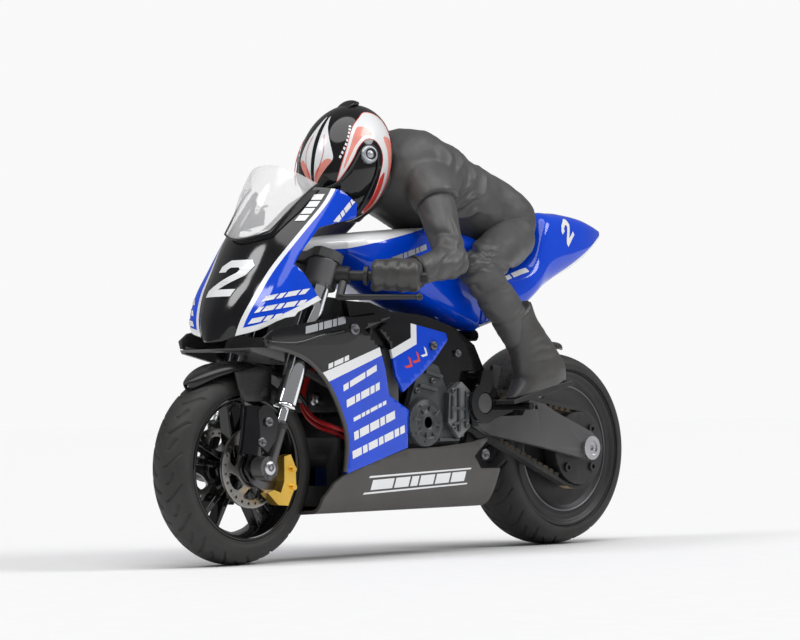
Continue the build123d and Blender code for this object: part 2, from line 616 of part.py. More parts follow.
def rear_rim():
    """Closed drum wheel: lip, stepped disc faces with a raised ring, and a hub to each side."""
    half = [(REAR_RIM_R, 8.6), (25.0, 8.7), (24.4, 8.0), (21.8, 7.8), (21.4, 8.6), (20.6, 8.6), (20.2, 7.8),
            (9.0, 7.6), (8.4, 8.6), (7.4, REAR_HUB_Y), (BEARING_R_REAR + RIM_CLEAR, REAR_HUB_Y)]
    inner = [(BEARING_R_REAR + RIM_CLEAR, REAR_HUB_Y - BEARING_WIDTH), (2.6, REAR_HUB_Y - BEARING_WIDTH)]
    outline = half + inner
    rim = turned_outline(outline + [(radius, -width) for radius, width in reversed(outline)], REAR_AXLE)
    cavity = turned_outline([(19.0, 5.6), (8.0, 5.6), (8.0, -5.6), (19.0, -5.6)], REAR_AXLE)
    return rim - cavity


FLYWHEEL_R = 18.7


def flywheel_ring():
    """Gyro ring inside the drum, which steadies the model."""
    return ring_across(REAR_AXLE, FLYWHEEL_R, 15.0, -5.3, 5.3)


def rear_pulley():
    """Belt wheel on the hub, with its outer plate and the four screws through it."""
    drum = ring_across(REAR_AXLE, REAR_PITCH_R - 0.75, 2.6, REAR_HUB_Y + 0.02, BELT_Y1 + 0.2)
    cover = ring_across(REAR_AXLE, 12.2, 2.6, BELT_Y1 + 0.2, BELT_Y1 + 1.1)
    pulley = drum + cover
    for number in range(4):
        angle = math.radians(45 + number * 90)
        head = REAR_AXLE + Vector(math.cos(angle), 0, math.sin(angle)) * 9.0
        screw = across(head, 1.6, BELT_Y1 + 1.1, BELT_Y1 + 1.9)
        pulley += screw - across(head, 0.75, BELT_Y1 + 1.3, BELT_Y1 + 2.5)
    return pulley


def along_shock(distance):
    return SHOCK_TOP + (SHOCK_FOOT - SHOCK_TOP).normalized() * distance


SHOCK_LENGTH = (SHOCK_FOOT - SHOCK_TOP).length


def shock_body():
    """Damper body with its top eye and spring seat."""
    body = rod(along_shock(2.0), along_shock(15.0), 2.0)
    seat = rod(along_shock(3.0), along_shock(4.0), 3.9)
    eye = across(SHOCK_TOP, 2.2, -2.0, 2.0)
    shock = body + seat + eye - across(SHOCK_TOP, 0.9 + RUN_CLEAR, -3, 3)
    return shock - rod(along_shock(9.0), along_shock(16.0), 0.8 + RUN_CLEAR)


def shock_rod():
    """Damper rod with its lower eye and spring seat; the eye has room on its pin."""
    shaft = rod(along_shock(10.5), along_shock(SHOCK_LENGTH - 1.5), 0.8)
    seat = rod(along_shock(SHOCK_LENGTH - 4.4), along_shock(SHOCK_LENGTH - 3.4), 3.9)
    eye = across(SHOCK_FOOT, 2.0, -1.9, 1.9)
    return shaft + seat + eye - across(SHOCK_FOOT, 0.9 + 0.18, -3, 3)


def shock_spring():
    outer = rod(along_shock(4.05), along_shock(SHOCK_LENGTH - 4.45), 3.7)
    return outer - rod(along_shock(3), along_shock(SHOCK_LENGTH - 3), 2.9)


# ---------------------------------------------------------------- bodywork
PANEL = 1.1                  # wall of the moulded covers


def flank(x, z):
    """Half width of the side covers: fullest at the shoulder line, easing down and to each end."""
    height = math.exp(-((z - 71) / 18) ** 2)
    length = max(0.0, 1 - ((x - 40) / 48) ** 2)
    return 18.0 + 3.1 * height * length


def flank_skin(xs, zs, thickness):
    """The left flank surface over a grid, as a wall of the given thickness towards the middle."""
    rows = [[(x, flank(x, z), z) for x in xs] for z in zs]
    surface = Face.make_surface_from_array_of_points(rows)
    return extrude(surface, amount=thickness, dir=(0, -1, 0))


SIDE_OUTLINE = [(79.0, 68.8), (76.0, 71.4), (60.0, 74.2), (41.7, 76.0), (24.7, 77.4), (25.6, 75.2),
                (33.0, 72.4), (30.3, 66.6), (26.9, 58.8), (24.4, 51.0), (15.6, 46.6), (15.9, 34.2),
                (42.7, 27.0), (42.0, 37.3), (44.5, 45.0), (50.8, 54.3), (59.3, 61.4), (67.7, 64.6),
                (77.6, 66.4)]


def side_fairing():
    wall = flank_skin([10, 25, 40, 55, 70, 84], [22, 36, 50, 62, 72, 82], PANEL)
    return wall & plate(SIDE_OUTLINE, 5, 30)


def mid_panel():
    """Small cover between the side fairing and the frame."""
    return plate([(23.6, 74.6), (13.7, 73.9), (-3.4, 70.9), (-4.3, 68.4), (2.8, 62.0), (9.5, 57.2),
                  (17.4, 51.6), (23.5, 54.0), (26.0, 60.5), (29.5, 68.0), (31.5, 72.0)],
                 SPAR_OUTER_Y, SPAR_OUTER_Y + 1.6)


def engine_cover():
    """Dummy engine side: a round cover, a second faceted cover and the plate behind them."""
    y0 = SPAR_OUTER_Y
    centre = Vector(7.4, 0, 42.2)
    round_cover = across(centre, 7.6, y0, y0 + 2.2) + across(centre, 3.4, y0, y0 + 3.0)
    second = plate([(-3.6, 51.5), (-9.5, 55.0), (-13.6, 52.0), (-12.6, 40.0), (-8.0, 36.9), (-3.0, 42.0)], y0,
                   y0 + 2.2)
    backing = plate([(13.0, 48.0), (9.5, 56.0), (2.0, 61.0), (-6.0, 60.0), (-12.6, 54.0), (-12.6, 37.4),
                     (-5.0, 36.0), (13.0, 35.6)], SPAR_INNER_Y, y0)
    backing -= frame_spar()
    return round_cover + second + backing


def belly_pan():
    """Trough under the chassis: sides in line with the flanks, floor on the tray, open at both ends."""
    section = [(17.9, 40.0), (17.6, 28.0), (15.8, 18.5), (13.0, 15.2), (6.0, 14.4)]
    profile = section + [(-y, z) for y, z in reversed(section)]
    outer = along_x(profile, -30, 60)
    inset = [(16.8, 40.1), (16.5, 28.0), (14.8, 19.0), (12.6, 16.4), (6.0, 15.6)]
    inner_profile = inset + [(-y, z) for y, z in reversed(inset)]
    inner = along_x(inner_profile, -31, 61)
    side = plate([(42.4, 26.6), (15.4, 33.6), (0.0, 33.8), (-14.8, 35.5), (-22.4, 37.0), (-22.4, 31.0),
                  (-18.4, 27.0), (-28.6, 26.8), (-25.5, 13.0), (51.0, 13.0), (50.0, 19.1), (46.5, 24.0)],
                 -20, 20)
    pan = (outer - inner) & side
    pan -= across(FRONT_AXLE, FRONT_RADIUS + 3.6, -14.6, 14.6)
    return pan - across(Vector(-20.6, 0, 31.5), 0.9, -20, 20)


# Nose outline at each level: height, then (x, y) from the middle line to the rear edge of the left side
NOSE_LEVELS = [
    (67.0, [(83.8, 0), (82.0, 4.0), (79.8, 6.6), (76.0, 14.0), (66.0, 18.8), (50.0, 19.4)]),
    (74.0, [(82.6, 0), (81.2, 5.4), (79.0, 9.2), (75.6, 17.0), (66.0, 20.4), (50.0, 20.6)]),
    (82.0, [(79.2, 0), (77.8, 6.5), (75.2, 11.6), (71.8, 18.6), (63.0, 20.9), (48.0, 21.0)]),
    (90.0, [(74.5, 0), (72.8, 7.2), (69.7, 13.0), (65.8, 19.2), (57.0, 21.0), (44.0, 21.0)]),
    (100.0, [(68.4, 0), (66.2, 8.6), (61.4, 16.0), (57.4, 19.8), (49.0, 21.0), (36.0, 21.0)]),
    (110.0, [(60.0, 0), (57.0, 9.6), (51.6, 17.8), (47.6, 20.2), (41.0, 21.0), (32.0, 21.0)]),
    (117.0, [(53.6, 0), (51.0, 9.6), (46.0, 17.6), (42.4, 20.0), (37.0, 20.8), (28.0, 20.8)]),
]
SCREEN_EDGE = [(70.0, 99.0), (66.0, 101.8), (57.5, 110.0), (50.4, 115.6)]


def nose_form(inset):
    """The nose as a solid through its level outlines, drawn in on every side by the inset."""
    sections = []
    for height, half in NOSE_LEVELS:
        left = [(x - inset, y * (1 - inset / 21)) for x, y in half]
        right = [(x, -y) for x, y in reversed(left[1:])]
        curve = Spline(*right, *left)
        sections.append(Pos(0, 0, height) * make_face(curve + Line(curve @ 1, curve @ 0)))
    return loft(sections, ruled=True)


def nose_cowl():
    """Front cowl: a narrow centre face between side panels that run back to the handlebars."""
    shell = nose_form(0) - nose_form(PANEL)
    rear = [(90, 66.9), (73.0, 73.6), (56.2, 80.3), (57.9, 81.9), (62.5, 88.0), (65.2, 91.0), (63.2, 94.4),
            (55.2, 102.8), (40.4, 106.0), (39.8, 110.3), (43.5, 114.9)]
    side = plate(rear + SCREEN_EDGE[::-1] + [(90, 90)], -30, 30)
    return largest(shell & side)


SCREEN_ROWS = [
    [(70.2, 0, 99.8), (69.0, 5.0, 100.4), (66.4, 9.8, 102.0)],
    [(67.8, 0, 107.3), (66.4, 6.0, 107.0), (62.0, 11.4, 106.2)],
    [(64.6, 0, 114.2), (63.0, 7.0, 113.2), (57.8, 12.9, 110.4)],
    [(61.4, 0, 119.4), (59.6, 7.8, 118.0), (53.8, 14.0, 114.0)],
    [(58.8, 0, 122.8), (56.8, 8.4, 121.2), (50.6, 14.8, 116.4)],
]


def windscreen():
    rows = [[(x, -y, z) for x, y, z in reversed(row[1:])] + row for row in SCREEN_ROWS]
    return thicken(Face.make_surface_from_array_of_points(rows), amount=-0.7)


def air_duct():
    """Arch under the nose, with a leg each side that slopes down to the rear."""
    side = plate([(81.0, 65.8), (80.2, 64.6), (67.0, 61.6), (67.0, 65.8)], -15.8, 15.8)
    return side - block(60, 90, -14.4, 14.4, 55, 65.0)


def slab(x, z0, z1, half, radius):
    """A rounded cross-section square to X."""
    plane = Plane(origin=(x, 0, (z0 + z1) / 2), x_dir=(0, 1, 0), z_dir=(1, 0, 0))
    return plane * RectangleRounded(2 * half, z1 - z0, radius)


def fuel_tank():
    stations = [(34.5, 94.0, 100.6, 13.5, 2.5), (26.0, 88.4, 102.4, 16.2, 4.0), (8.0, 82.0, 104.2, 17.4, 5.0),
                (-10.0, 75.6, 105.2, 16.4, 5.0), (-26.0, 70.6, 103.5, 13.6, 4.5)]
    shell = loft([slab(*station) for station in stations], ruled=True)
    inner = [(x, z0 - 4, z1 - 1.6, half - 1.5, radius) for x, z0, z1, half, radius in stations]
    return shell - loft([slab(*station) for station in inner], ruled=True)


def seat_pad():
    return fillet(block(-50, -27, -11.5, 11.5, 93.2, 99.0).edges(), 2.0)


def tail_cowl():
    """Seat tail: the side skirts rise from the frame to a pointed hump behind the rider."""
    stations = [(-26.6, 71.4, 92.6, 13.4, 2.5), (-44.0, 76.6, 93.0, 13.2, 2.5),
                (-54.0, 82.0, 97.0, 12.4, 3.5), (-62.0, 86.0, 111.0, 11.2, 4.5),
                (-78.0, 92.6, 111.2, 9.0, 4.0), (-92.0, 99.8, 109.4, 5.6, 2.5),
                (-99.6, 104.0, 107.0, 2.4, 1.0)]
    shell = loft([slab(*station) for station in stations], ruled=True)
    inner = [(x, z0 - 3, z1 - 1.8, half - 1.5, min(radius, 2.0)) for x, z0, z1, half, radius in stations[:5]]
    return shell - loft([slab(*station) for station in inner], ruled=True)


def footpeg():
    """Rear-set hanger round the pivot, tied to the frame above it, with the peg below the instep."""
    y0, y1 = 20.0, 21.2
    ring = across(PIVOT, 6.6, y0, y1)
    upper = plate([(-22.6, 51.0), (-21.8, 58.6), (-17.0, 58.6), (-15.0, 53.0)], y0, y1)
    lower = plate([(-19.0, 42.0), (-31.4, 45.2), (-31.4, 48.2), (-22.0, 49.5)], y0, y1)
    spacer = across(Vector(-19.4, 0, 56.6), 1.7, SPAR_OUTER_Y, y0)
    peg = across(Vector(-30.0, 0, 46.8), 1.2, y1, 30.5)
    return ring + upper + lower + spacer + peg - across(PIVOT, 3.5, y0 - 1, y1 + 1)


# ---------------------------------------------------------------- rider figure
BACK = (-0.94, 0, -0.34)
HELMET_CENTRE = Vector(22.8, 0, 125.2)
HELMET_PITCH = 52


def helmet_form(grow):
    """An egg, longest from its chin bar to its back, tipped forward so that the face looks down."""
    egg = scale(Sphere(1), by=(20.2 + grow, 13.8 + grow, 16.2 + grow))
    return Pos(*HELMET_CENTRE) * Rot(0, HELMET_PITCH, 0) * egg


VISOR_STAND = 0.5


def helmet_cut():
    """The part of space ahead of the helmet's face that the visor fills, in the helmet's own tilt."""
    wedge = Pos(14.0, 0, -2.0) * Box(26, 40, 13)
    return Pos(*HELMET_CENTRE) * Rot(0, HELMET_PITCH, 0) * wedge


def helmet_visor():
    shell = (helmet_form(VISOR_STAND) - helmet_form(0)) & helmet_cut()
    caps = across(HELMET_CENTRE, 2.4, 13.0, 15.0) - helmet_form(VISOR_STAND)
    return [shell, caps, mirrored(caps)]


def rider_torso():
    stations = [((9.5, 0, 123.0), BACK, 10.0, 8.0), ((4.0, 0, 123.8), BACK, 17.6, 12.4),
                ((-6.0, 0, 120.8), BACK, 19.6, 14.4), ((-17.0, 0, 116.2), BACK, 17.6, 14.6),
                ((-33.5, 0, 111.2), BACK, 15.0, 14.2), ((-46.0, 0, 106.8), BACK, 15.8, 13.2),
                ((-55.0, 0, 103.2), BACK, 12.6, 9.4)]
    shoulder = limb([((0.0, 13.0, 119.5), (0.1, 0.6, -0.79), 7.2, 7.8),
                     ((3.4, 20.0, 112.6), (0.08, 0.6, -0.79), 6.5, 6.9)])
    return limb(stations) + shoulder + mirrored(shoulder)


def rider_leg():
    """Thigh, shin and boot of the left leg, knee against the tank and boot on the peg."""
    thigh = limb([((-42, 12.0, 101.6), (0.84, 0.38, -0.26), 8.0, 8.0),
                  ((-26, 19.0, 96.0), (0.84, 0.36, -0.26), 7.3, 7.4),
                  ((-9.6, 25.4, 90.6), (0.84, 0.34, -0.26), 5.6, 5.8)])
    knee = Pos(-10.2, 25.2, 90.4) * Sphere(6.0)
    shin = limb([((-9.4, 25.3, 91.0), (-0.62, 0, -0.78), 5.4, 5.4),
                 ((-21.2, 25.2, 79.8), (-0.62, 0, -0.78), 5.8, 6.0),
                 ((-34.5, 25.0, 66.0), (-0.66, -0.06, -0.75), 5.0, 6.2),
                 ((-41.0, 25.0, 59.5), (-0.7, 0, -0.7), 4.2, 5.2)])
    foot = limb([((-52.4, 25.0, 58.0), (1, 0, -0.1), 2.9, 3.4),
                 ((-46.0, 25.0, 58.0), (1, 0, -0.2), 4.0, 5.0),
                 ((-36.0, 25.0, 55.3), (1, 0, -0.3), 4.4, 4.0),
                 ((-28.0, 25.0, 52.0), (1, 0, -0.3), 4.2, 2.5),
                 ((-23.2, 25.0, 50.2), (1, 0, -0.3), 2.6, 1.2)])
    return thigh + knee + shin + foot


def rider_arm():
    upper = limb([((2.6, 18.0, 115.0), (0.1, 0.6, -0.79), 5.4, 5.8),
                  ((6.4, 25.8, 105.0), (0.1, 0.55, -0.81), 5.5, 5.7),
                  ((10.0, 32.6, 94.0), (0.1, 0.5, -0.86), 4.8, 5.0)])
    elbow = Pos(10.6, 33.6, 92.5) * Sphere(5.5)
    fore = limb([((9.8, 33.8, 92.6), (1, -0.04, -0.14), 4.8, 5.0),
                 ((18.5, 33.9, 91.0), (1, -0.03, -0.16), 4.9, 5.0),
                 ((27.6, 33.7, 88.9), (1, -0.06, -0.16), 3.4, 3.4)])
    return upper + elbow + fore


# ---------------------------------------------------------------- fasteners and wires
def body_screws():
    """Button-head cover screws, the heads proud of the covers they hold."""
    spots = [(41.9, 71.5, 0), (-20.6, 31.5, 17.8), (3.5, 66.5, SPAR_OUTER_Y + 1.6),
             (-9.7, 64.2, SPAR_OUTER_Y)]
    heads = []
    for x, z, face in spots:
        seat = face if face else flank(x, z)
        head = across(Vector(x, 0, z), 1.9, seat, seat + 1.2)
        head -= across(Vector(x, 0, z), 0.8, seat + 0.5, seat + 2)
        heads += pair(head)
    return heads


WIRE_RADIUS = 0.75
WIRE_ROUTES = [
    [(22.3, -4.0, 66.0), (28.0, -5.5, 63.5), (34.0, -7.0, 58.5), (38.0, -7.0, 51.5), (39.6, -4.0, 45.6),
     (40.0, 2.0, 41.6), (39.0, 8.0, 39.8), (35.0, 10.4, 37.4), (29.5, 10.1, 34.6), (25.0, 8.0, 33.4),
     (22.5, 6.0, BATTERY_TOP + 0.5)],
    [(22.3, -1.5, 66.0), (28.5, -2.4, 64.6), (35.6, -4.0, 59.8), (39.9, -4.2, 52.2), (41.4, -1.5, 46.9),
     (41.8, 4.0, 43.4), (40.8, 9.6, 41.5), (37.0, 12.4, 39.8), (31.0, 12.2, 38.0), (26.0, 10.4, 36.8),
     (22.0, 8.0, 35.0), (19.5, 6.0, BATTERY_TOP + 0.5)],
]


def battery_leads():
    """Battery leads: from the controller, down across the front opening, back to the battery's top."""
    wires = []
    for route in WIRE_ROUTES:
        points = [Vector(*point) for point in route]
        runs = [after - before for before, after in zip(points, points[1:])]
        radii = []
        for before, after in zip(runs, runs[1:]):
            turn = math.radians(before.get_angle(after))
            radii.append(0.45 * min(before.length, after.length) / math.tan(turn / 2))
        path = FilletPolyline(*points, radius=radii)
        start = Plane(origin=points[0], z_dir=runs[0])
        wires.append(sweep(start * Circle(WIRE_RADIUS), path=path))
        print("wire bend radii", [round(radius, 1) for radius in radii])
    return wires


def main():
    save("fork_legs", fork_leg(1), fork_leg(-1))
    save("fork_guards", *pair(fork_guard()))
    save("front_fender", front_fender())
    save("front_axle", *front_axle())
    save("brake_calipers", *[half for piece in brake_caliper() for half in pair(piece)])
    save("front_tyre", front_tyre())
    save("front_rim", front_rim())
    save("front_bearings", *bearings(FRONT_AXLE, BEARING_R_FRONT, AXLE_R_FRONT + RIM_CLEAR, 8.4))
    save("brake_discs", *pair(brake_disc()))

    save("fork_tubes", *pair(fork_tube()))
    save("fork_springs", *pair(fork_spring()))
    save("triple_clamp_lower", lower_clamp(), steering_stem())
    save("triple_clamp_upper", clamp(TOP_CLAMP_LEVEL, TOP_CLAMP_HEIGHT))
    save("clip_ons", *pair(clip_on()))
    save("brake_levers", *pair(brake_lever()))
    save("rider_gloves", *pair(rider_glove()))

    save("frame_spars", *pair(frame_spar()), *frame_bridges())
    save("steering_head", steering_head())
    save("chassis_tray", chassis_tray())
    save("battery_pack", battery_pack())
    save("speed_controller", speed_controller())
    save("receiver", receiver())
    save("steering_servo", steering_servo())
    save("servo_horn", servo_horn())
    save("steering_link", steering_link())
    save("drive_motor", drive_motor())
    save("motor_mount", motor_mount())
    save("motor_pinion", motor_pinion())
    save("front_pulley", front_pulley())
    save("swingarm_pivot", swingarm_pivot())

    save("swingarm", swingarm())
    save("rear_fender", rear_fender())
    save("drive_belt", drive_belt())
    save("rear_axle", *rear_axle())
    save("rear_tyre", rear_tyre())
    save("rear_rim", rear_rim())
    save("flywheel_ring", flywheel_ring())
    save("rear_pulley", rear_pulley())
    save("rear_bearings", *bearings(REAR_AXLE, BEARING_R_REAR, AXLE_R_REAR + RIM_CLEAR, REAR_HUB_Y))
    save("shock_body", shock_body())
    save("shock_rod", shock_rod())
    save("shock_spring", shock_spring())

    tank, tail, helmet = fuel_tank(), tail_cowl(), helmet_form(0)
    seat = largest(seat_pad() - tail)
    torso = largest(rider_torso() - tank - seat - tail - helmet_form(0.1))
    leg_form = largest(rider_leg() - torso - tank - seat - tail)
    arm = largest(rider_arm() - torso)
    save("side_fairings", *pair(side_fairing()))
    save("mid_panels", *pair(mid_panel()))
    save("engine_covers", *pair(engine_cover()))
    save("belly_pan", belly_pan())
    save("nose_cowl", nose_cowl())
    save("windscreen", windscreen())
    save("air_duct", air_duct())
    save("fuel_tank", tank)
    save("seat_pad", seat)
    save("tail_cowl", tail)
    save("footpegs", *pair(footpeg()))
    save("rider_torso", torso)
    save("rider_legs", *pair(leg_form))
    save("rider_arms", *pair(arm))
    save("helmet_shell", helmet)
    save("helmet_visor", *helmet_visor())
    save("body_screws", *body_screws())
    save("battery_leads", *battery_leads())


main()
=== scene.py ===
import math

import bmesh
import bpy
from mathutils import Matrix, Vector, noise
from mathutils.kdtree import KDTree


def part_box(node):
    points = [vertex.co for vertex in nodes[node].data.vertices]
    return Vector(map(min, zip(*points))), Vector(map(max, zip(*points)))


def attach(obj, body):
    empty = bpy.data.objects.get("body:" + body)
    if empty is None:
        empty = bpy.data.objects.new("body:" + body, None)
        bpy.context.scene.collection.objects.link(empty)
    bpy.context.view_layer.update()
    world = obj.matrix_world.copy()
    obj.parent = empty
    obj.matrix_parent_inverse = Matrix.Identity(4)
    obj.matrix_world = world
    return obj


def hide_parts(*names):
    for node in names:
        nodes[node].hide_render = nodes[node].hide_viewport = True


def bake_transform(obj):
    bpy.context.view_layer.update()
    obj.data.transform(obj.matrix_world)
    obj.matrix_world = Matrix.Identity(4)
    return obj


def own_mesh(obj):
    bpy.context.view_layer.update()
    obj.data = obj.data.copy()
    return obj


# A one-tenth scale radio-controlled racing motorcycle with a crouching rider figure.
# Shapes are written in millimetres in the shared frame (+X forward, +Y left, +Z up) and
# turned into metres when a mesh is made.

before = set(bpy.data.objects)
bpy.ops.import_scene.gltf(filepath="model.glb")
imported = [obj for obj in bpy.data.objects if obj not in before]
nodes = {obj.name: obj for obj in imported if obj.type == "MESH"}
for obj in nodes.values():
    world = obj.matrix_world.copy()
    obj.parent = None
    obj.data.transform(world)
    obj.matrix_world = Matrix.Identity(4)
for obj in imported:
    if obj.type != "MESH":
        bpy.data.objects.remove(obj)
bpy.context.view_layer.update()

MM = 0.001
PANEL = 1.1                                   # wall of the moulded covers
DECAL = 0.07                                  # a printed mark stands this far off its panel
SIDE_VIEW = (0, 2)                            # outlines are drawn in x and z
RAKE = math.radians(22.9)
FORK_UP = Vector((-math.sin(RAKE), 0, math.cos(RAKE)))
FORK_FORWARD = Vector((math.cos(RAKE), 0, math.sin(RAKE)))


def centre_of(node):
    """Middle of a CAD node's box, in millimetres."""
    low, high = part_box(node)
    return (low + high) / 2 / MM


def half_size(node):
    """Half of the box of a CAD node along each axis, in millimetres."""
    low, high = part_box(node)
    return (high - low) / 2 / MM


FRONT_AXLE, REAR_AXLE = centre_of("front_tyre"), centre_of("rear_tyre")
FRONT_PULLEY = centre_of("front_pulley")
FRONT_RADIUS, FRONT_HALF, _ = half_size("front_tyre")
REAR_RADIUS, REAR_HALF, _ = half_size("rear_tyre")
STEER_BASE = FRONT_AXLE - FORK_FORWARD * 4.95   # foot of the steering axis, beside the axle
X, Y, Z = Vector((1, 0, 0)), Vector((0, 1, 0)), Vector((0, 0, 1))
SIDES = ((1, "left"), (-1, "right"))


# ------------------------------------------------------------------ materials
PATCH_SIZE = 9.0                              # mm, size of the soft light and dark patches of a finish
ROUGH_SPREAD = 0.06
WORN_GREY = (0.42, 0.42, 0.42, 1)


def new_material(name):
    material = bpy.data.materials.new(name)
    material.use_nodes = True
    return material, material.node_tree, material.node_tree.nodes["Principled BSDF"]


def add_node(tree, kind, values, links):
    """Adds a shader node with its values and links; returns its first output."""
    made = tree.nodes.new("ShaderNode" + kind)
    for key, value in values.items():
        made.inputs[key].default_value = value
    for key, source in links.items():
        tree.links.new(source, made.inputs[key])
    return made.outputs[0]


def make_material(name, colour, roughness, mottle=0.1, grain=0.3, bump=0.02, metallic=0.0, coat=0.0,
                  specular=0.5, wear=0.0):
    """Procedural finish: colour and roughness vary softly, with a fine grain; grain and bump in mm."""
    material, tree, shader = new_material(name)
    place = tree.nodes.new("ShaderNodeTexCoord").outputs["Object"]

    def cloud(size, detail):
        return add_node(tree, "TexNoise", {"Scale": 1 / (size * MM), "Detail": detail}, {"Vector": place})
    ramp = tree.nodes.new("ShaderNodeValToRGB")
    dark, light = ramp.color_ramp.elements
    dark.position, light.position = 0.3, 0.7
    dark.color = [c * (1 - mottle) for c in colour] + [1]
    light.color = [min(1, c * (1 + mottle) + 0.02 * mottle) for c in colour] + [1]
    tree.links.new(cloud(PATCH_SIZE, 3), ramp.inputs["Fac"])
    base = ramp.outputs["Color"]
    if wear:
        edge = tree.nodes.new("ShaderNodeNewGeometry").outputs["Pointiness"]
        worn = add_node(tree, "MapRange", {"From Min": 0.56, "From Max": 0.66, "To Max": wear},
                        {"Value": edge})
        base = add_node(tree, "MixRGB", {"Color2": WORN_GREY}, {"Fac": worn, "Color1": base})
    tree.links.new(base, shader.inputs["Base Color"])
    spread = {"To Min": max(0.02, roughness - ROUGH_SPREAD), "To Max": min(1.0, roughness + ROUGH_SPREAD)}
    tree.links.new(add_node(tree, "MapRange", spread, {"Value": cloud(3.0, 4)}), shader.inputs["Roughness"])
    relief = add_node(tree, "Bump", {"Strength": 1.0, "Distance": bump * MM}, {"Height": cloud(grain, 2)})
    tree.links.new(relief, shader.inputs["Normal"])
    shader.inputs["Metallic"].default_value = metallic
    shader.inputs["Specular IOR Level"].default_value = specular
    if coat:
        shader.inputs["Coat Weight"].default_value = coat
        shader.inputs["Coat Roughness"].default_value = 0.09
    return material


def make_clear(name, tint, roughness):
    """Clear moulded plastic: mostly see-through, with a glossy face. The near-white tint at low alpha whitens
    it: partly real haze, partly a painted reflection of the studio light.
    """
    material, tree, shader = new_material(name)
    place = tree.nodes.new("ShaderNodeTexCoord").outputs["Object"]
    haze = add_node(tree, "TexNoise", {"Scale": 140}, {"Vector": place})
    # painted reflection: the low alpha over a near-white tint lays a white veil on the screen, partly haze
    painted_reflection_veil = add_node(tree, "MapRange", {"To Min": 0.30, "To Max": 0.38}, {"Value": haze})
    tree.links.new(painted_reflection_veil, shader.inputs["Alpha"])
    shader.inputs["Base Color"].default_value = tint
    shader.inputs["Roughness"].default_value = roughness
    shader.inputs["Coat Weight"].default_value = 1.0
    shader.inputs["Coat Roughness"].default_value = 0.03
    return material


LACQUER = {"coat": 1.0, "grain": 1.4, "bump": 0.008, "specular": 0.0}
PRINT = {"coat": 0.8, "grain": 1.4, "bump": 0.006}
METAL = {"metallic": 1.0}
BLUE = make_material("paint_blue", (0.0, 0.060, 0.66), 0.3, mottle=0.05, **LACQUER)
WHITE = make_material("paint_white", (0.86, 0.87, 0.88), 0.3, coat=0.7, mottle=0.02, grain=1.4, bump=0.006)
GLOSS_BLACK = make_material("paint_black", (0.004, 0.004, 0.005), 0.3, mottle=0.2, **LACQUER)
SILVER = make_material("print_silver", (0.5, 0.52, 0.55), 0.35, 0.05, 0.6, 0.004, metallic=0.6)
RED = make_material("paint_red", (0.72, 0.045, 0.03), 0.3, mottle=0.08, **PRINT)
SALMON = make_material("paint_salmon", (0.86, 0.30, 0.24), 0.3, **PRINT)
MOULDED = make_material("moulded_black", (0.012, 0.012, 0.013), 0.42, 0.15, 0.25, wear=0.25)
NYLON = make_material("glass_filled_nylon", (0.013, 0.013, 0.014), 0.46, 0.2, 0.3, 0.035, wear=0.3)
BELLY = make_material("belly_grey", (0.062, 0.058, 0.054), 0.42, 0.08, 0.3, 0.015, coat=0.1)
DUMMY = make_material("dummy_engine", (0.055, 0.06, 0.062), 0.42, 0.3, 0.35, 0.05, metallic=0.25, wear=0.5)
SUIT = make_material("suit_grey", (0.068, 0.067, 0.066), 0.46, 0.14, 0.5, 0.05)
MUDGUARD = make_material("satin_black", (0.010, 0.010, 0.011), 0.28, 0.15, 0.5, 0.01)
BOOT = make_material("boot_black", (0.052, 0.050, 0.048), 0.36, 0.2, 0.4, 0.03)
TYRE = make_material("tyre_rubber", (0.020, 0.019, 0.018), 0.6, 0.2, 0.3, 0.03)
BELT = make_material("belt_rubber", (0.028, 0.027, 0.027), 0.7, 0.25, 0.2, 0.03)
# tan on the belt teeth is a painted highlight
BELT_TOOTH_HIGHLIGHT = make_material("belt_tooth_highlight", (0.30, 0.22, 0.12), 0.7, 0.35, 0.2, 0.03)
CHROME = make_material("chrome", (0.88, 0.89, 0.91), 0.09, 0.02, 2.0, 0.003, **METAL)
STEEL = make_material("steel", (0.52, 0.52, 0.54), 0.28, 0.12, **METAL)
DARK_STEEL = make_material("dark_steel", (0.16, 0.16, 0.17), 0.32, 0.2, **METAL)
DISC = make_material("disc_steel", (0.30, 0.29, 0.28), 0.34, 0.15, **METAL)
GOLD = make_material("anodised_gold", (0.83, 0.53, 0.10), 0.3, bump=0.03, metallic=0.9)
ALLOY = make_material("machined_alloy", (0.62, 0.62, 0.65), 0.3, 0.08, 0.2, **METAL)
BRASS = make_material("brass", (0.68, 0.48, 0.2), 0.3, **METAL)
WIRE_RED = make_material("wire_red", (0.50, 0.012, 0.015), 0.4, bump=0.01)
WRAP = make_material("battery_wrap", (0.02, 0.07, 0.33), 0.3, grain=1.0, coat=0.4)
# near-white tint: partly the screen's haze, partly a painted reflection of the studio light
SCREEN = make_clear("clear_screen", (0.95, 0.95, 0.96, 1), 0.12)


# ------------------------------------------------------------------ mesh helpers
def smooth_curve(points, steps=6, closed=False):
    """A smooth curve through the points; each point is a tuple of any length."""
    count = len(points)
    out = []
    for span in range(count if closed else count - 1):
        places = [(span + k) % count if closed else min(max(span + k, 0), count - 1) for k in (-1, 0, 1, 2)]
        around = [points[place] for place in places]
        for step in range(steps):
            t = step / steps
            weights = (-0.5 * t + t * t - 0.5 * t ** 3, 1 - 2.5 * t * t + 1.5 * t ** 3,
                       0.5 * t + 2 * t * t - 1.5 * t ** 3, -0.5 * t * t + 0.5 * t ** 3)
            out.append(tuple(sum(w * value for w, value in zip(weights, axis)) for axis in zip(*around)))
    return out if closed else out + [tuple(points[-1])]


def smooth_grid(rows, across_steps, along_steps):
    """Rows of points made finer both ways by smooth curves."""
    fine_rows = [smooth_curve(row, across_steps) for row in rows]
    columns = [smooth_curve([row[k] for row in fine_rows], along_steps) for k in range(len(fine_rows[0]))]
    return [list(row) for row in zip(*columns)]


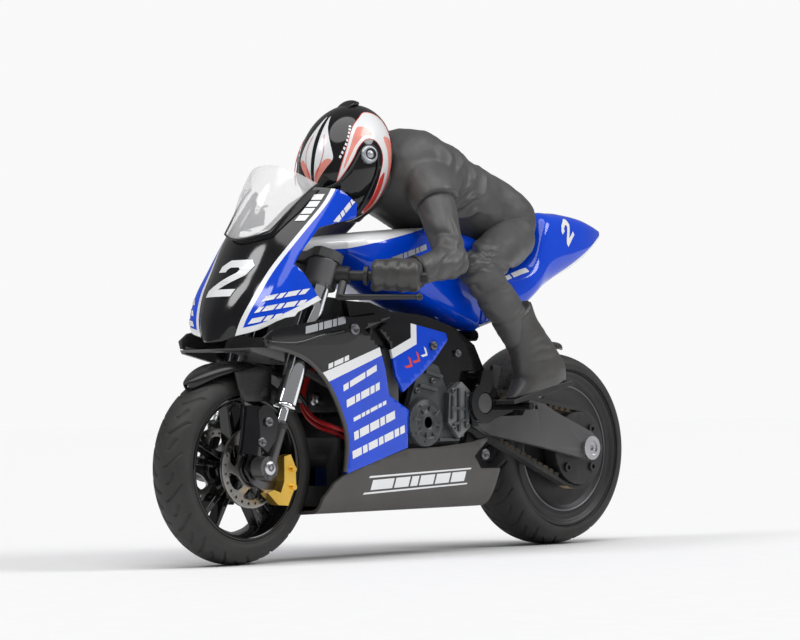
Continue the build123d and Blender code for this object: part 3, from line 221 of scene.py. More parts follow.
def from_bmesh(name, bm, materials, body, replaced=(), smooth=True):
    """Makes a named piece of a mesh in mm that rides on a CAD body and stands for the replaced nodes."""
    mesh = bpy.data.meshes.new(name)
    bm.to_mesh(mesh)
    bm.free()
    mesh.transform(Matrix.Scale(MM, 4))
    mesh.polygons.foreach_set("use_smooth", [smooth] * len(mesh.polygons))
    for material in materials:
        mesh.materials.append(material)
    obj = bpy.data.objects.new(name, mesh)
    bpy.context.scene.collection.objects.link(obj)
    if body:
        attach(obj, body)
    if replaced:
        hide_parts(*replaced)
    return obj


def joined(parts):
    """One mesh from several."""
    whole = bmesh.new()
    for part in parts:
        mesh = bpy.data.meshes.new("part")
        part.to_mesh(mesh)
        part.free()
        whole.from_mesh(mesh)
        bpy.data.meshes.remove(mesh)
    return whole


def even_normals(bm):
    bmesh.ops.recalc_face_normals(bm, faces=bm.faces[:])


def cut_away(bm, unwanted):
    """Removes the faces whose middle is unwanted, with the edges and points that only they use."""
    gone = [face for face in bm.faces if unwanted(face.calc_center_median())]
    bmesh.ops.delete(bm, geom=gone, context="FACES")


def paint(bm, number_at_middle):
    """Gives each face the material number for its middle."""
    for face in bm.faces:
        face.material_index = number_at_middle(face.calc_center_median())


def angles(turns, count=None):
    """Evenly spaced angles; a count of turns + 1 closes a path."""
    return [2 * math.pi * k / turns for k in range(count or turns)]


def about_y(turn):
    """The direction at an angle round a cross axis: 0 is forward, a quarter turn is up."""
    return Vector((math.cos(turn), 0, math.sin(turn)))


def squared(angle, power, rise_power=None):
    """Cosine and sine drawn towards a rounded square; a power of 1 is a circle."""
    c, s = math.cos(angle), math.sin(angle)
    return math.copysign(abs(c) ** power, c), math.copysign(abs(s) ** (rise_power or power), s)


def ring(centre, side, other, half, depth, turns, power=1.0):
    """Points round a centre: half wide along side, depth along other."""
    shares = [squared(angle, power) for angle in angles(turns)]
    return [centre + side * (u * half) + other * (v * depth) for u, v in shares]


def grid_mesh(rows, closed_across=False, closed_along=False, caps=False):
    """A mesh of quads over rows of points, optionally joined round and capped at both ends."""
    bm = bmesh.new()
    verts = [[bm.verts.new(point) for point in row] for row in rows]
    width = len(rows[0])
    for i in range(len(rows) - (0 if closed_along else 1)):
        below, above_row = verts[i], verts[(i + 1) % len(rows)]
        for j in range(width - (0 if closed_across else 1)):
            k = (j + 1) % width
            bm.faces.new((below[j], below[k], above_row[k], above_row[j]))
    if caps:
        bm.faces.new(verts[0][::-1])
        bm.faces.new(verts[-1])
    if closed_across:
        even_normals(bm)
    return bm


def turned(centre, axis, profile, turns=40, closed=False):
    """A form turned round an axis through centre; profile is (radius, distance along the axis)."""
    axis = Vector(axis)
    start = Y if abs(axis.x) > 0.9 else X
    side = (start - axis * start.dot(axis)).normalized()
    other = axis.cross(side)
    rows = [ring(Vector(centre) + axis * out, side, other, radius, radius, turns)
            for radius, out in profile]
    return grid_mesh(rows, closed_across=True, closed_along=closed)


def modifier(obj, kind, **settings):
    mod = obj.modifiers.new(kind.lower(), kind)
    for key, value in settings.items():
        setattr(mod, key, value)
    return mod


def face_towards(bm, direction):
    """Turns the faces of a sheet so that most of it looks in the given direction."""
    bm.normal_update()
    facing = sum(face.normal.dot(Vector(direction)) * face.calc_area() for face in bm.faces)
    if facing < 0:
        bmesh.ops.reverse_faces(bm, faces=bm.faces[:])


def thicken(obj, thickness, edge=0.14, shaded_lining=None):
    """Gives a sheet its wall, measured inwards, with a softened rim; the inside faces take the material
    passed as the lining, and the covers pass a dark one there as painted shade.
    """
    wall = modifier(obj, "SOLIDIFY", thickness=thickness * MM, offset=-1.0, use_even_offset=False)
    # painted shade: the inside faces of the covers are given a dark material
    if shaded_lining:
        obj.data.materials.append(shaded_lining)
        wall.material_offset = len(obj.data.materials) - 1
    if edge:
        soften(obj, edge, 40)
    return obj


def soften(obj, width, angle=35, segments=2):
    modifier(obj, "BEVEL", width=width * MM, segments=segments, limit_method="ANGLE",
             angle_limit=math.radians(angle), use_clamp_overlap=True, harden_normals=False)
    return obj


def inside(polygon, x, y):
    """True if the point is inside the closed outline."""
    hit = False
    for (x0, y0), (x1, y1) in zip(polygon, polygon[1:] + polygon[:1]):
        if (y0 > y) != (y1 > y) and x < x0 + (x1 - x0) * (y - y0) / (y1 - y0):
            hit = not hit
    return hit


def score(bm, polygon, axes, closed=True):
    """Cuts the mesh along an outline seen along the third axis, only where the outline runs."""
    a, b = axes
    ends = polygon[1:] + polygon[:1] if closed else polygon[1:]
    for start, end in zip(polygon, ends):
        run = (end[0] - start[0], end[1] - start[1])
        if math.hypot(*run) < 1e-6:
            continue
        low = (min(start[0], end[0]) - 0.01, min(start[1], end[1]) - 0.01)
        high = (max(start[0], end[0]) + 0.01, max(start[1], end[1]) + 0.01)
        near = []
        for face in bm.faces:
            us = [v.co[a] for v in face.verts]
            vs = [v.co[b] for v in face.verts]
            if max(us) > low[0] and min(us) < high[0] and max(vs) > low[1] and min(vs) < high[1]:
                near.append(face)
        if not near:
            continue
        point, normal = Vector(), Vector()
        point[a], point[b] = start
        normal[a], normal[b] = -run[1], run[0]
        edges = {edge for face in near for edge in face.edges}
        verts = {vert for face in near for vert in face.verts}
        bmesh.ops.bisect_plane(bm, geom=list(verts) + list(edges) + near, dist=1e-5, plane_co=point,
                               plane_no=normal.normalized())


def keep_inside(bm, polygon, axes):
    """Cuts the mesh to an outline, then joins inner corners that fall very near the rim to the rim."""
    score(bm, polygon, axes)
    a, b = axes
    cut_away(bm, lambda middle: not inside(polygon, middle[a], middle[b]))
    weld_to_rim(bm)


def weld_to_rim(bm, reach=0.28):
    rim = [vert for vert in bm.verts if vert.is_boundary]
    if not rim:
        return
    tree = KDTree(len(rim))
    for index, vert in enumerate(rim):
        tree.insert(vert.co, index)
    tree.balance()
    target = {}
    for vert in bm.verts:
        if not vert.is_boundary:
            _, index, distance = tree.find(vert.co)
            if distance < reach:
                target[vert] = rim[index]
    bmesh.ops.weld_verts(bm, targetmap=target)


def steps_between(low, high, step):
    count = max(1, round((high - low) / step))
    return [low + (high - low) * k / count for k in range(count + 1)]


def with_far_side(half):
    """A run of points from the middle outwards, completed by its mirror image; Y comes first in each."""
    return [(-point[0], *point[1:]) for point in reversed(half[1:])] + half


def box_of(polygon):
    us, vs = [p[0] for p in polygon], [p[1] for p in polygon]
    return (min(us), min(vs)), (max(us), max(vs))


def patch(outline, place, step=1.5, lines=(), region=None):
    """A sheet cut to a flat outline and then laid in space: place turns (u, v) into a point.

    Colour borders are open runs of points in lines; region gives the material number at (u, v)."""
    (left, foot), (right, top) = box_of(outline)
    across = steps_between(left, right, step)
    bm = grid_mesh([[(u, 0, v) for u in across] for v in steps_between(foot, top, step)])
    for line in lines:
        score(bm, line, SIDE_VIEW, closed=False)
    keep_inside(bm, outline, SIDE_VIEW)
    if region:
        paint(bm, lambda middle: region(middle.x, middle.z))
    lay(bm, place)
    return bm


def lay(bm, place):
    """Moves a flat (u, v) mesh into space."""
    for vert in bm.verts:
        vert.co = place(vert.co.x, vert.co.z)


def across_at(y):
    """Places (x, z) on the upright plane at y."""
    return lambda x, z: Vector((x, y, z))


def mirror_pair(obj):
    """Adds the right-hand half of a left-hand piece, mirrored in its own middle plane."""
    mod = obj.modifiers.new("mirror", "MIRROR")
    mod.use_axis = (False, True, False)
    mod.use_mirror_merge = False
    obj.modifiers.move(len(obj.modifiers) - 1, 0)
    return obj


def swept(path, widths, turns=20, up=Y):
    """Rings along a path; widths gives (half width along up, half depth) at each point."""
    rings = []
    for index, (half, depth) in enumerate(widths):
        before, after = Vector(path[max(index - 1, 0)]), Vector(path[min(index + 1, len(path) - 1)])
        along = (after - before).normalized()
        side = (up - along * up.dot(along)).normalized()
        rings.append(ring(Vector(path[index]), side, along.cross(side), half, depth, turns))
    return rings


def tube(name, path, radius, material, body, turns=16):
    """A round bar along a path; radius is one value or one per point."""
    radii = radius if isinstance(radius, list) else [radius] * len(path)
    rings = swept(path, [(r, r) for r in radii], turns, Vector((0, 0.99, 0.14)))
    return from_bmesh(name, grid_mesh(rings, closed_across=True, caps=True), [material], body)


# ------------------------------------------------------------------ side covers
FLANK_HALF = 18.0                             # half width of the side covers at their edges
FLANK_BULGE = 3.1                             # how much fuller they are at the shoulder
SHOULDER = (40, 71)                           # the fullest place, in (x, z)


def flank(x, z):
    """Half width of the side covers: fullest at the shoulder, easing down and to each end."""
    height = math.exp(-((z - SHOULDER[1]) / 18) ** 2)
    length = max(0.0, 1 - ((x - SHOULDER[0]) / 48) ** 2)
    return FLANK_HALF + FLANK_BULGE * height * length


def on_flank(lift=0.0):
    """Places (x, z) on the left side cover, standing off by lift."""
    return lambda x, z: Vector((x, flank(x, z) + lift, z))


def above(line):
    """A test for being above a two-point line, in (x, z)."""
    (x0, z0), (x1, z1) = line
    return lambda x, z: z > z0 + (z1 - z0) * (x - x0) / (x1 - x0)


FAIRING_FRONT = [(42.7, 27.0), (42.0, 37.3), (44.5, 45.0), (50.8, 54.3),
                 (59.3, 61.4), (67.7, 64.7), (77.9, 66.2)]
FAIRING_TOP = [(78.6, 68.6), (74.9, 71.0), (61.0, 73.4), (47.0, 75.4),
               (41.7, 75.2), (33.0, 76.0), (24.7, 77.0)]
FAIRING_REAR = [(25.6, 75.1), (37.4, 71.4), (33.6, 69.0), (30.3, 65.8), (26.9, 58.8), (24.4, 51.0),
                (15.1, 46.2), (15.5, 34.4)]
BAND_TOP = [(58.0, 56.95), (28.0, 66.75)]
BAND_FOOT = [(58.0, 53.05), (28.0, 63.85)]


def side_fairing():
    outline = smooth_curve(FAIRING_FRONT, 4) + FAIRING_TOP + FAIRING_REAR
    upper, lower = above(BAND_TOP), above(BAND_FOOT)
    bm = patch(outline, on_flank(), 1.5, [BAND_TOP, BAND_FOOT],
               lambda x, z: 0 if upper(x, z) else 1 if lower(x, z) else 2)
    face_towards(bm, Y)
    obj = from_bmesh("side_fairing_shells", bm, [GLOSS_BLACK, WHITE, BLUE],
                     "chassis", ["side_fairings"])
    thicken(mirror_pair(obj), PANEL, shaded_lining=MOULDED)
    edge = smooth_curve([(42.9, 27.4)] + FAIRING_FRONT[1:-1] + [(76.5, 66.3)], 6)
    path = [Vector((x, flank(x, z) - 0.75, z)) for x, z in edge]
    mirror_pair(tube("fairing_raw_edge", path, 0.8, BELLY, "chassis", turns=12))


def fairing_scoop():
    """Raised lip where the upper cover meets the fork opening, with a flat dark patch on the cover there:
    painted shade standing for a recess.
    """
    corners = [(66.0, 66.4), (56.0, 68.4), (45.0, 70.4), (40.0, 69.6), (45.5, 67.0), (54.0, 66.6)]
    # painted shade: a flat matt black patch just off the cover stands for the shade in a recess
    bm = patch(smooth_curve(corners, 4, closed=True), on_flank(0.12), 1.2)
    mirror_pair(from_bmesh("fairing_recess_painted_shade", bm, [MOULDED], "chassis"))
    ridge = smooth_curve([(77.0, 67.4), (66.0, 67.2), (56.0, 69.4), (46.0, 71.0)])
    path = [on_flank(0.1)(x, z) for x, z in ridge]
    mirror_pair(tube("fairing_crease", path, 0.45, GLOSS_BLACK, "chassis"))


MID_FACE = 18.1                               # outer face of the small middle covers, in Y
# Seen side on, the band runs from the fairing's rear edge up to the top of the cover.
MID_OUTLINE = [(23.0, 67.3), (27.4, 71.6), (24.0, 73.8), (13.7, 73.6), (-3.0, 70.6), (-3.9, 68.4),
               (2.8, 62.0), (9.5, 57.2), (17.4, 51.9), (20.5, 57.0)]
MID_BAND = [(25.5, 61.0), (11.0, 67.0), (11.0, 75.0)]
MID_BAND_FAR = [(26.5, 63.6), (13.6, 69.0), (13.6, 75.0)]


def mid_panel():
    near_line, far_line = above(MID_BAND[:2]), above(MID_BAND_FAR[:2])

    def colour(x, z):
        if x > MID_BAND_FAR[1][0] and far_line(x, z):
            return 0
        return 1 if x > MID_BAND[1][0] and near_line(x, z) else 2
    bm = patch(MID_OUTLINE, lambda x, z: Vector((x, MID_FACE + 0.25 * math.sin((x + 4) / 9), z)), 1.5,
               [MID_BAND, MID_BAND_FAR], colour)
    face_towards(bm, Y)
    obj = from_bmesh("mid_cover_shells", bm, [GLOSS_BLACK, WHITE, BLUE], "chassis", ["mid_panels"])
    thicken(mirror_pair(obj), 1.0, shaded_lining=MOULDED)


def belly_pan():
    """Trough: sides cut to their outline, and a floor that turns up into them."""
    half = [(0, 14.35), (8, 14.5), (13.2, 15.3), (15.8, 18.6), (17.0, 23.5), (17.6, 29.0), (17.9, 40.0)]
    section = with_far_side(smooth_curve(half, 5))
    bm = grid_mesh([[(x, y, z) for y, z in section] for x in steps_between(-30, 52, 1.5)])
    outline = [(42.6, 26.9), (28.0, 31.0), (15.4, 34.0), (0.0, 34.3), (-14.8, 35.5), (-22.2, 37.0),
               (-22.4, 36.0), (-16.2, 31.0), (-19.4, 27.0), (-28.8, 26.8), (-26.3, 18.0), (-25.5, 13.0),
               (51.8, 13.0), (51.6, 19.1), (47.5, 24.0)]
    keep_inside(bm, outline, SIDE_VIEW)
    even_normals(bm)
    face_towards(bm, -Z)
    thicken(from_bmesh("belly_pan_shell", bm, [BELLY], "chassis", ["belly_pan"]), PANEL, shaded_lining=MOULDED)


# ------------------------------------------------------------------ nose and screen
# Height, then (x, y) from the middle line to the rear edge of the left side.
NOSE_LEVELS = [(66.9, [(83.8, 0), (82.0, 4.0), (79.8, 6.6), (76.0, 14.0), (66.0, 18.8), (50.0, 19.4)]),
               (74.0, [(82.6, 0), (81.2, 5.4), (79.0, 9.2), (75.6, 17.0), (66.0, 20.4), (50.0, 20.6)]),
               (82.0, [(79.2, 0), (77.8, 6.5), (75.2, 11.6), (71.8, 18.6), (63.0, 20.9), (48.0, 21.0)]),
               (90.0, [(74.5, 0), (72.8, 7.2), (69.7, 13.0), (65.8, 19.2), (57.0, 21.0), (44.0, 21.0)]),
               (100.0, [(68.4, 0), (66.2, 8.6), (61.4, 16.0), (57.4, 19.8), (49.0, 21.0), (36.0, 21.0)]),
               (110.0, [(60.0, 0), (57.0, 9.6), (51.6, 17.8), (47.6, 20.2), (41.0, 21.0), (32.0, 21.0)]),
               (117.0, [(53.6, 0), (51.0, 9.6), (46.0, 17.6), (42.4, 20.0), (37.0, 20.8), (28.0, 20.8)])]
SCREEN_EDGE = [(70.6, 98.6), (66.0, 101.8), (57.5, 110.0), (50.4, 115.6)]
NOSE_REAR = [(90, 66.95), (82.0, 68.0), (73.0, 73.6), (56.0, 80.4), (57.9, 81.8), (62.5, 88.0),
             (65.4, 91.0), (63.2, 94.1), (55.2, 102.6), (40.2, 105.9), (39.6, 110.3), (45.7, 114.4)]
NOSE_HEM = [(86, 65.0), (73.0, 72.0), (54.0, 79.8), (56.8, 81.9), (73.3, 74.9), (86, 68.0)]
NOSE_STEPS = 8                                # mesh columns between two outline points
NOSE_MIDDLE = 5 * NOSE_STEPS                  # the column on the middle line
PAINT_EDGE = 2                                # the second outline point is where black paint ends
STRIPE_SHARE = 0.2                            # the white stripe's share of the next span


def nose_rows():
    rows = [with_far_side([(y, x, z) for x, y in half]) for z, half in NOSE_LEVELS]
    return smooth_grid([[(x, y, z) for y, x, z in row] for row in rows], NOSE_STEPS, 6)


def nose_cowl():
    rows = nose_rows()
    bm = grid_mesh(rows)
    border = PAINT_EDGE * NOSE_STEPS
    stripe = round(STRIPE_SHARE * NOSE_STEPS)
    width = len(rows[0]) - 1
    for number, face in enumerate(bm.faces):
        column = number % width
        steps_out = column - NOSE_MIDDLE if column >= NOSE_MIDDLE else NOSE_MIDDLE - 1 - column
        face.material_index = 0 if steps_out < border else 1 if steps_out < border + stripe else 2
    score(bm, NOSE_HEM, SIDE_VIEW)
    keep_inside(bm, NOSE_REAR + SCREEN_EDGE[::-1] + [(90, 90)], SIDE_VIEW)
    for face in bm.faces:
        middle = face.calc_center_median()
        if face.material_index == 2 and inside(NOSE_HEM, middle.x, middle.z):
            face.material_index = 1
    face_towards(bm, X)
    obj = from_bmesh("nose_cowl_shell", bm, [GLOSS_BLACK, WHITE, BLUE],
                     "chassis", ["nose_cowl"])
    thicken(obj, PANEL, shaded_lining=MOULDED)


def on_nose(lift=DECAL):
    """Places (out, z) on the nose: out counts outline points from the middle, positive to the left."""
    rows = nose_rows()

    def point(out, z):
        index = next((k for k in range(len(rows) - 1) if rows[k + 1][0][2] >= z), len(rows) - 2)
        low, high = rows[index], rows[index + 1]
        share = (z - low[0][2]) / (high[0][2] - low[0][2])
        column = NOSE_MIDDLE + out * NOSE_STEPS
        left = int(column)
        a, b = (Vector(row[left]).lerp(Vector(row[left + 1]), column - left) for row in (low, high))
        return a.lerp(b, share)

    def place(out, z):
        sideways = point(out + 0.05, z) - point(out - 0.05, z)
        upward = point(out, z + 0.3) - point(out, z - 0.3)
        return point(out, z) + sideways.cross(upward).normalized() * lift
    return place


SCREEN_ROWS = [[(70.4, 0, 99.4), (69.2, 5.0, 100.0), (66.6, 10.0, 101.6)],
               [(67.8, 0, 107.3), (66.4, 6.0, 107.0), (62.0, 11.6, 106.2)],
               [(64.6, 0, 114.2), (63.0, 7.0, 113.2), (57.8, 13.1, 110.4)],
               [(61.4, 0, 119.4), (59.6, 7.8, 118.0), (53.8, 14.2, 114.0)],
               [(58.8, 0, 122.8), (56.8, 8.4, 121.2), (50.6, 15.0, 116.4)]]


def windscreen():
    whole = [[(x, y, z) for y, x, z in with_far_side([(y, x, z) for x, y, z in row])]
             for row in SCREEN_ROWS]
    rows = smooth_grid(whole, 8, 8)
    bm = grid_mesh(rows)
    face_towards(bm, X)
    obj = from_bmesh("windscreen_bubble", bm, [SCREEN], "chassis", ["windscreen"])
    thicken(obj, 0.6, edge=0.1)
    border = [row[0] for row in rows][::-1] + rows[0] + [row[-1] for row in rows]
    tube("windscreen_trim", [Vector(p) + X * 0.1 for p in border], 0.3, MOULDED, "chassis", turns=8)


# ------------------------------------------------------------------ tank and tail
def lofted(stations, steps, power, turns=64):
    """A closed form of rings square to X through (x, z0, z1, half width), with rounded corners."""
    rings = []
    for x, z0, z1, half in smooth_curve(stations, steps):
        shares = [squared(angle + math.pi / turns, power) for angle in angles(turns)]
        rings.append([Vector((x, u * half, v * (z1 - z0) / 2 + (z0 + z1) / 2)) for u, v in shares])
    return grid_mesh(rings, closed_across=True, caps=True)


def over(line, point):
    """Whether a point is above an open line of (x, z) points that runs rearwards."""
    return any(x1 <= point.x <= x0 and above([(x0, z0), (x1, z1)])(point.x, point.z)
               for (x0, z0), (x1, z1) in zip(line, line[1:]))


def below_line(line, point):
    """How far a point is below an open line of (x, z) points that runs rearwards; 0 beyond its ends."""
    for (x0, z0), (x1, z1) in zip(line, line[1:]):
        if x1 <= point.x <= x0:
            return z0 + (z1 - z0) * (x0 - point.x) / (x0 - x1) - point.z
    return 0.0


TANK_STATIONS = [(35.5, 94.5, 100.2, 12.6), (32.0, 91.6, 101.2, 14.6), (26.0, 88.4, 102.4, 16.2),
                 (8.0, 82.0, 104.2, 17.4), (-10.0, 75.6, 105.2, 16.4), (-26.0, 70.6, 103.5, 13.6)]
# white above this line is a painted highlight along the top of the tank
TANK_HIGHLIGHT_LINE = [(60.0, 94.9), (35.9, 96.9), (13.2, 101.6), (1.5, 103.9), (-30.0, 110.0)]


def tank():
    bm = lofted(TANK_STATIONS, 8, 0.5)
    score(bm, TANK_HIGHLIGHT_LINE, SIDE_VIEW, closed=False)
    # painted highlight: faces above the line take white, blue below
    paint(bm, lambda middle: int(over(TANK_HIGHLIGHT_LINE, middle)))
    from_bmesh("tank_cover", bm, [BLUE, WHITE], "chassis", ["fuel_tank"])


TAIL_STATIONS = [(-26.4, 71.4, 92.6, 13.4), (-44.0, 76.6, 93.0, 13.2), (-54.0, 82.0, 97.0, 12.4),
                 (-62.0, 86.0, 110.6, 11.2), (-70.0, 89.6, 112.2, 10.2), (-78.0, 92.6, 111.8, 9.0),
                 (-86.0, 96.2, 110.8, 7.4), (-93.0, 100.2, 109.2, 5.2), (-99.8, 104.2, 107.4, 2.2)]


TAIL_SKIRT = [(-20.0, 89.0), (-46.0, 91.6), (-58.5, 95.6), (-60.6, 99.0), (-64.6, 101.6), (-102.0, 104.9)]
SKIRT_FLARE = 0.07                            # the skirt is this much wider than the hump
TAIL_HEM = [(-20.0, 72.0), (-44.0, 78.4), (-60.0, 86.8), (-78.0, 95.2), (-90.0, 101.0), (-102.0, 106.6)]
SEAT_SIDE = [(-28, 91.6), (-38.5, 92.4), (-52.6, 96.8), (-53.4, 101.5), (-50, 106), (-28, 106)]


def seat():
    """The cushion under the rider: flat foam in a dark cover, crowned in the middle, with a rolled edge."""
    low, high = (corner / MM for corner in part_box("seat_pad"))
    middle, size = (low + high) / 2, (high - low) / 2
    rows = []
    for number in range(25):
        share = number / 24
        end = max(0.0, 1 - abs(2 * share - 1) ** 6)
        half, deep = size.y * (0.9 + 0.1 * end), size.z * (0.8 + 0.2 * end)
        row = []
        for angle in angles(48):
            u, v = squared(angle, 0.35, 0.45)
            crown = 0.25 * (1 - u ** 2) * end if v > 0 else 0.0
            row.append(Vector((low.x + 2 * size.x * share, half * u, middle.z + deep * v * (0.93 + crown))))
        rows.append(row)
    obj = from_bmesh("seat_cushion", grid_mesh(rows, closed_across=True, caps=True),
                     [BOOT], "chassis", ["seat_pad"])
    soften(obj, 0.5, 50, 3)


def tail():
    """Tail hump over a slightly wider skirt, with a white hem underneath."""
    bm = lofted(TAIL_STATIONS, 6, 0.6)
    score(bm, TAIL_HEM, SIDE_VIEW, closed=False)
    score(bm, SEAT_SIDE, SIDE_VIEW)
    paint(bm, lambda middle: (2 if inside(SEAT_SIDE, middle.x, middle.z)
                              else int(not over(TAIL_HEM, middle))))
    for vert in bm.verts:
        vert.co.y *= 1 + SKIRT_FLARE * min(1.0, max(0.0, below_line(TAIL_SKIRT, vert.co) / 3.0))
    from_bmesh("tail_cover", bm, [BLUE, WHITE, BOOT], "chassis", ["tail_cowl"])


# ------------------------------------------------------------------ wheels
def slash(angle0, reach, bend, start=0.12):
    """Centre line of one tread cut, from near the crown towards the shoulder: (turn, share of half width)."""
    return [(angle0 + bend * (k / 5) ** 1.6, start + (reach - start) * k / 5) for k in range(6)]


TREAD_DEPTH = 0.55
TREAD_CUT = 0.42                              # half width of a tread cut
TREAD_BEND = 0.16                             # radians a tread cut runs back from crown to shoulder


def tread_depth(turn, share, cuts, radius, half):
    """How deep the tread is cut at a place on the tyre, as a share of its full depth."""
    deepest = 0.0
    for cut in cuts:
        for (t0, s0), (t1, s1) in zip(cut, cut[1:]):
            ax, ay = (turn - t0) * radius, (share - s0) * half
            bx, by = (t1 - t0) * radius, (s1 - s0) * half
            along = max(0.0, min(1.0, (ax * bx + ay * by) / (bx * bx + by * by)))
            gap = math.hypot(ax - bx * along, ay - by * along)
            deepest = max(deepest, 1 - (gap / TREAD_CUT) ** 2)
    return max(0.0, deepest) ** 0.5


def tyre(name, node, centre, radius, half, bead_radius, bead_half, shoulder_radius, repeats, body):
    """Round-shouldered racing tyre with curved cuts in its tread, a lipped wall and an open inside."""
    pitch = 2 * math.pi / repeats
    left, right = ([slash(long * pitch, 0.86, TREAD_BEND),
                    slash(short * pitch, 0.62, TREAD_BEND * 0.7, 0.30)]
                   for long, short in ((0.10, 0.62), (0.35, 0.87)))
    crown = []
    for k in range(-22, 23):
        turn = k / 22 * math.pi / 2
        reach = shoulder_radius + (radius - shoulder_radius) * math.cos(turn) ** 0.9
        crown.append((reach, half * math.sin(turn), k / 22))
    wall = [(shoulder_radius - 0.9, half - 0.05), (shoulder_radius - 1.3, half - 0.35),
            (bead_radius + 0.9, bead_half + 0.5), (bead_radius + 0.5, bead_half + 0.75),
            (bead_radius + 0.05, bead_half + 0.2), (bead_radius + 0.05, bead_half - 0.6)]
    rows = []
    for angle in angles(40 * repeats):
        row = []
        for r, y, share in crown:
            depth = 0.0
            if 0.05 < abs(share) < 0.97:
                cuts = left if y > 0 else right
                depth = max(tread_depth(angle % pitch + shift, abs(y) / half, cuts, radius, half)
                            for shift in (0, pitch, -pitch))
            row.append((r - TREAD_DEPTH * depth, y))
        row += wall + [(r, -y) for r, y in reversed(wall)]
        rows.append([(centre.x + r * math.cos(angle), y, centre.z + r * math.sin(angle)) for r, y in row])
    bm = grid_mesh(rows, closed_across=True, closed_along=True)
    from_bmesh(name, bm, [TYRE], body, [node])


def bar_between(bm, start, end, wide0, wide1, deep0, deep1):
    """Adds a tapered four-sided bar square to Y: wide in the (x, z) plane, deep along Y."""
    start, end = Vector(start), Vector(end)
    side = (end - start).normalized().cross(Y).normalized()
    rings = []
    for share in (0, 0.25, 0.5, 0.75, 1):
        middle = start.lerp(end, share)
        wide = side * (wide0 + (wide1 - wide0) * share ** 0.8) / 2
        deep = Y * (deep0 + (deep1 - deep0) * share) / 2
        corners = [middle + wide * u + deep * v for u, v in ((-1, -1), (1, -1), (1, 1), (-1, 1))]
        rings.append([bm.verts.new(corner) for corner in corners])
    for low, high in zip(rings, rings[1:]):
        for k in range(4):
            bm.faces.new((low[k], low[(k + 1) % 4], high[(k + 1) % 4], high[k]))
    bm.faces.new(rings[0][::-1])
    bm.faces.new(rings[-1])


def both_rims(half):
    """A closed outline from its half on the left side, in (radius, y)."""
    return half + [(radius, -y) for radius, y in reversed(half) if y]


def front_wheel():
    tyre("front_tyre_tread", "front_tyre", FRONT_AXLE, FRONT_RADIUS,
         FRONT_HALF, 22.1, 5.9, 24.6, 18, "front_wheel")
    rim = both_rims([(22.1, 5.6), (22.25, 6.2), (21.9, 6.5), (21.2, 6.45), (20.9, 6.0), (20.4, 4.6),
                     (19.7, 3.2), (19.5, 0)])
    from_bmesh("front_rim_ring", turned(FRONT_AXLE, Y, rim, 128, closed=True), [GLOSS_BLACK], "front_wheel",
               ["front_rim"])
    hub = both_rims([(3.6, 2.6), (4.0, 4.6), (5.0, 5.4), (4.9, 8.0), (4.4, 8.4), (1.9, 8.4)])
    from_bmesh("front_hub", turned(FRONT_AXLE, Y, hub, 64, closed=True), [GLOSS_BLACK], "front_wheel")
    bm = bmesh.new()
    for number in range(5):
        for lean in (-9, 9):
            turn = math.radians(90 + number * 72)
            root = FRONT_AXLE + about_y(turn + lean * 0.02) * 3.2
            tip = FRONT_AXLE + about_y(turn + math.radians(lean)) * 20.0
            bar_between(bm, root, tip, 2.5, 1.7, 5.6, 4.2)
    even_normals(bm)
    soften(from_bmesh("front_spokes", bm, [GLOSS_BLACK], "front_wheel", smooth=False), 0.4, 30, 3)


DISC_SIDE = 8.2                               # outer face of a disc, in Y
DISC_WALL = 0.9


def brake_discs():
    """Drilled rings on slanted arms, one each side of the front wheel; drawn flat in (degrees, radius)."""
    radii = (4.7, 5.6, 6.4, 7.4, 8.4, 9.4, 10.2, 10.8, 11.5, 12.2)
    bm = grid_mesh([[(turn, 0, radius) for turn in steps_between(0, 360, 5)] for radius in radii])
    openings = []
    for turn in range(6, 366, 60):
        shape = [(turn, 6.2), (turn + 32, 6.2), (turn + 46, 9.3), (turn + 12, 9.3)]
        openings.append(smooth_curve(shape, 4, closed=True))
    for number in range(24):
        turn = 15 * number + 7.5
        openings.append([(turn + 2.6 * math.cos(a), 10.75 + 0.48 * math.sin(a)) for a in angles(10)])
    for shape in openings:
        score(bm, shape, SIDE_VIEW)
    cut_away(bm, lambda middle: any(inside(shape, middle.x, middle.z) for shape in openings))
    lay(bm, lambda turn, radius: FRONT_AXLE + about_y(math.radians(turn)) * radius + Y * DISC_SIDE)
    bmesh.ops.remove_doubles(bm, verts=bm.verts[:], dist=0.01)
    even_normals(bm)
    face_towards(bm, Y)
    obj = from_bmesh("brake_disc_rings", bm, [DISC], "front_wheel", ["brake_discs"])
    thicken(mirror_pair(obj), DISC_WALL, edge=0.12)


def rear_wheel():
    tyre("rear_tyre_tread", "rear_tyre", REAR_AXLE, REAR_RADIUS, REAR_HALF,
         26.3, 8.5, 27.9, 20, "rear_wheel")
    drum = both_rims([(26.3, 0), (26.3, 8.3), (26.45, 8.75), (26.0, 9.0), (25.2, 8.9), (24.7, 8.2),
                      (24.2, 7.9), (21.9, 7.7), (21.5, 8.5), (20.7, 8.6), (20.2, 7.8), (19.0, 7.4),
                      (12.5, 7.4), (9.2, 7.7), (8.5, 8.6), (7.6, 9.9), (4.1, 10.1)])
    from_bmesh("rear_drum", turned(REAR_AXLE, Y, drum, 128, closed=True), [NYLON], "rear_wheel",
               ["rear_rim"])
    lip = [(20.6, 8.55), (20.9, 8.75), (21.3, 8.7), (21.4, 8.4), (21.0, 8.2)]
    for side, label in SIDES:
        bm = turned(REAR_AXLE, Y * side, lip, 128, closed=True)
        from_bmesh(f"rear_drum_lip_{label}", bm, [DARK_STEEL], "rear_wheel")


# ------------------------------------------------------------------ mudguards
GUARD_WALL = 0.9
GUARD_ARCH = 2.8                              # how far a mudguard rises from its edge to its middle


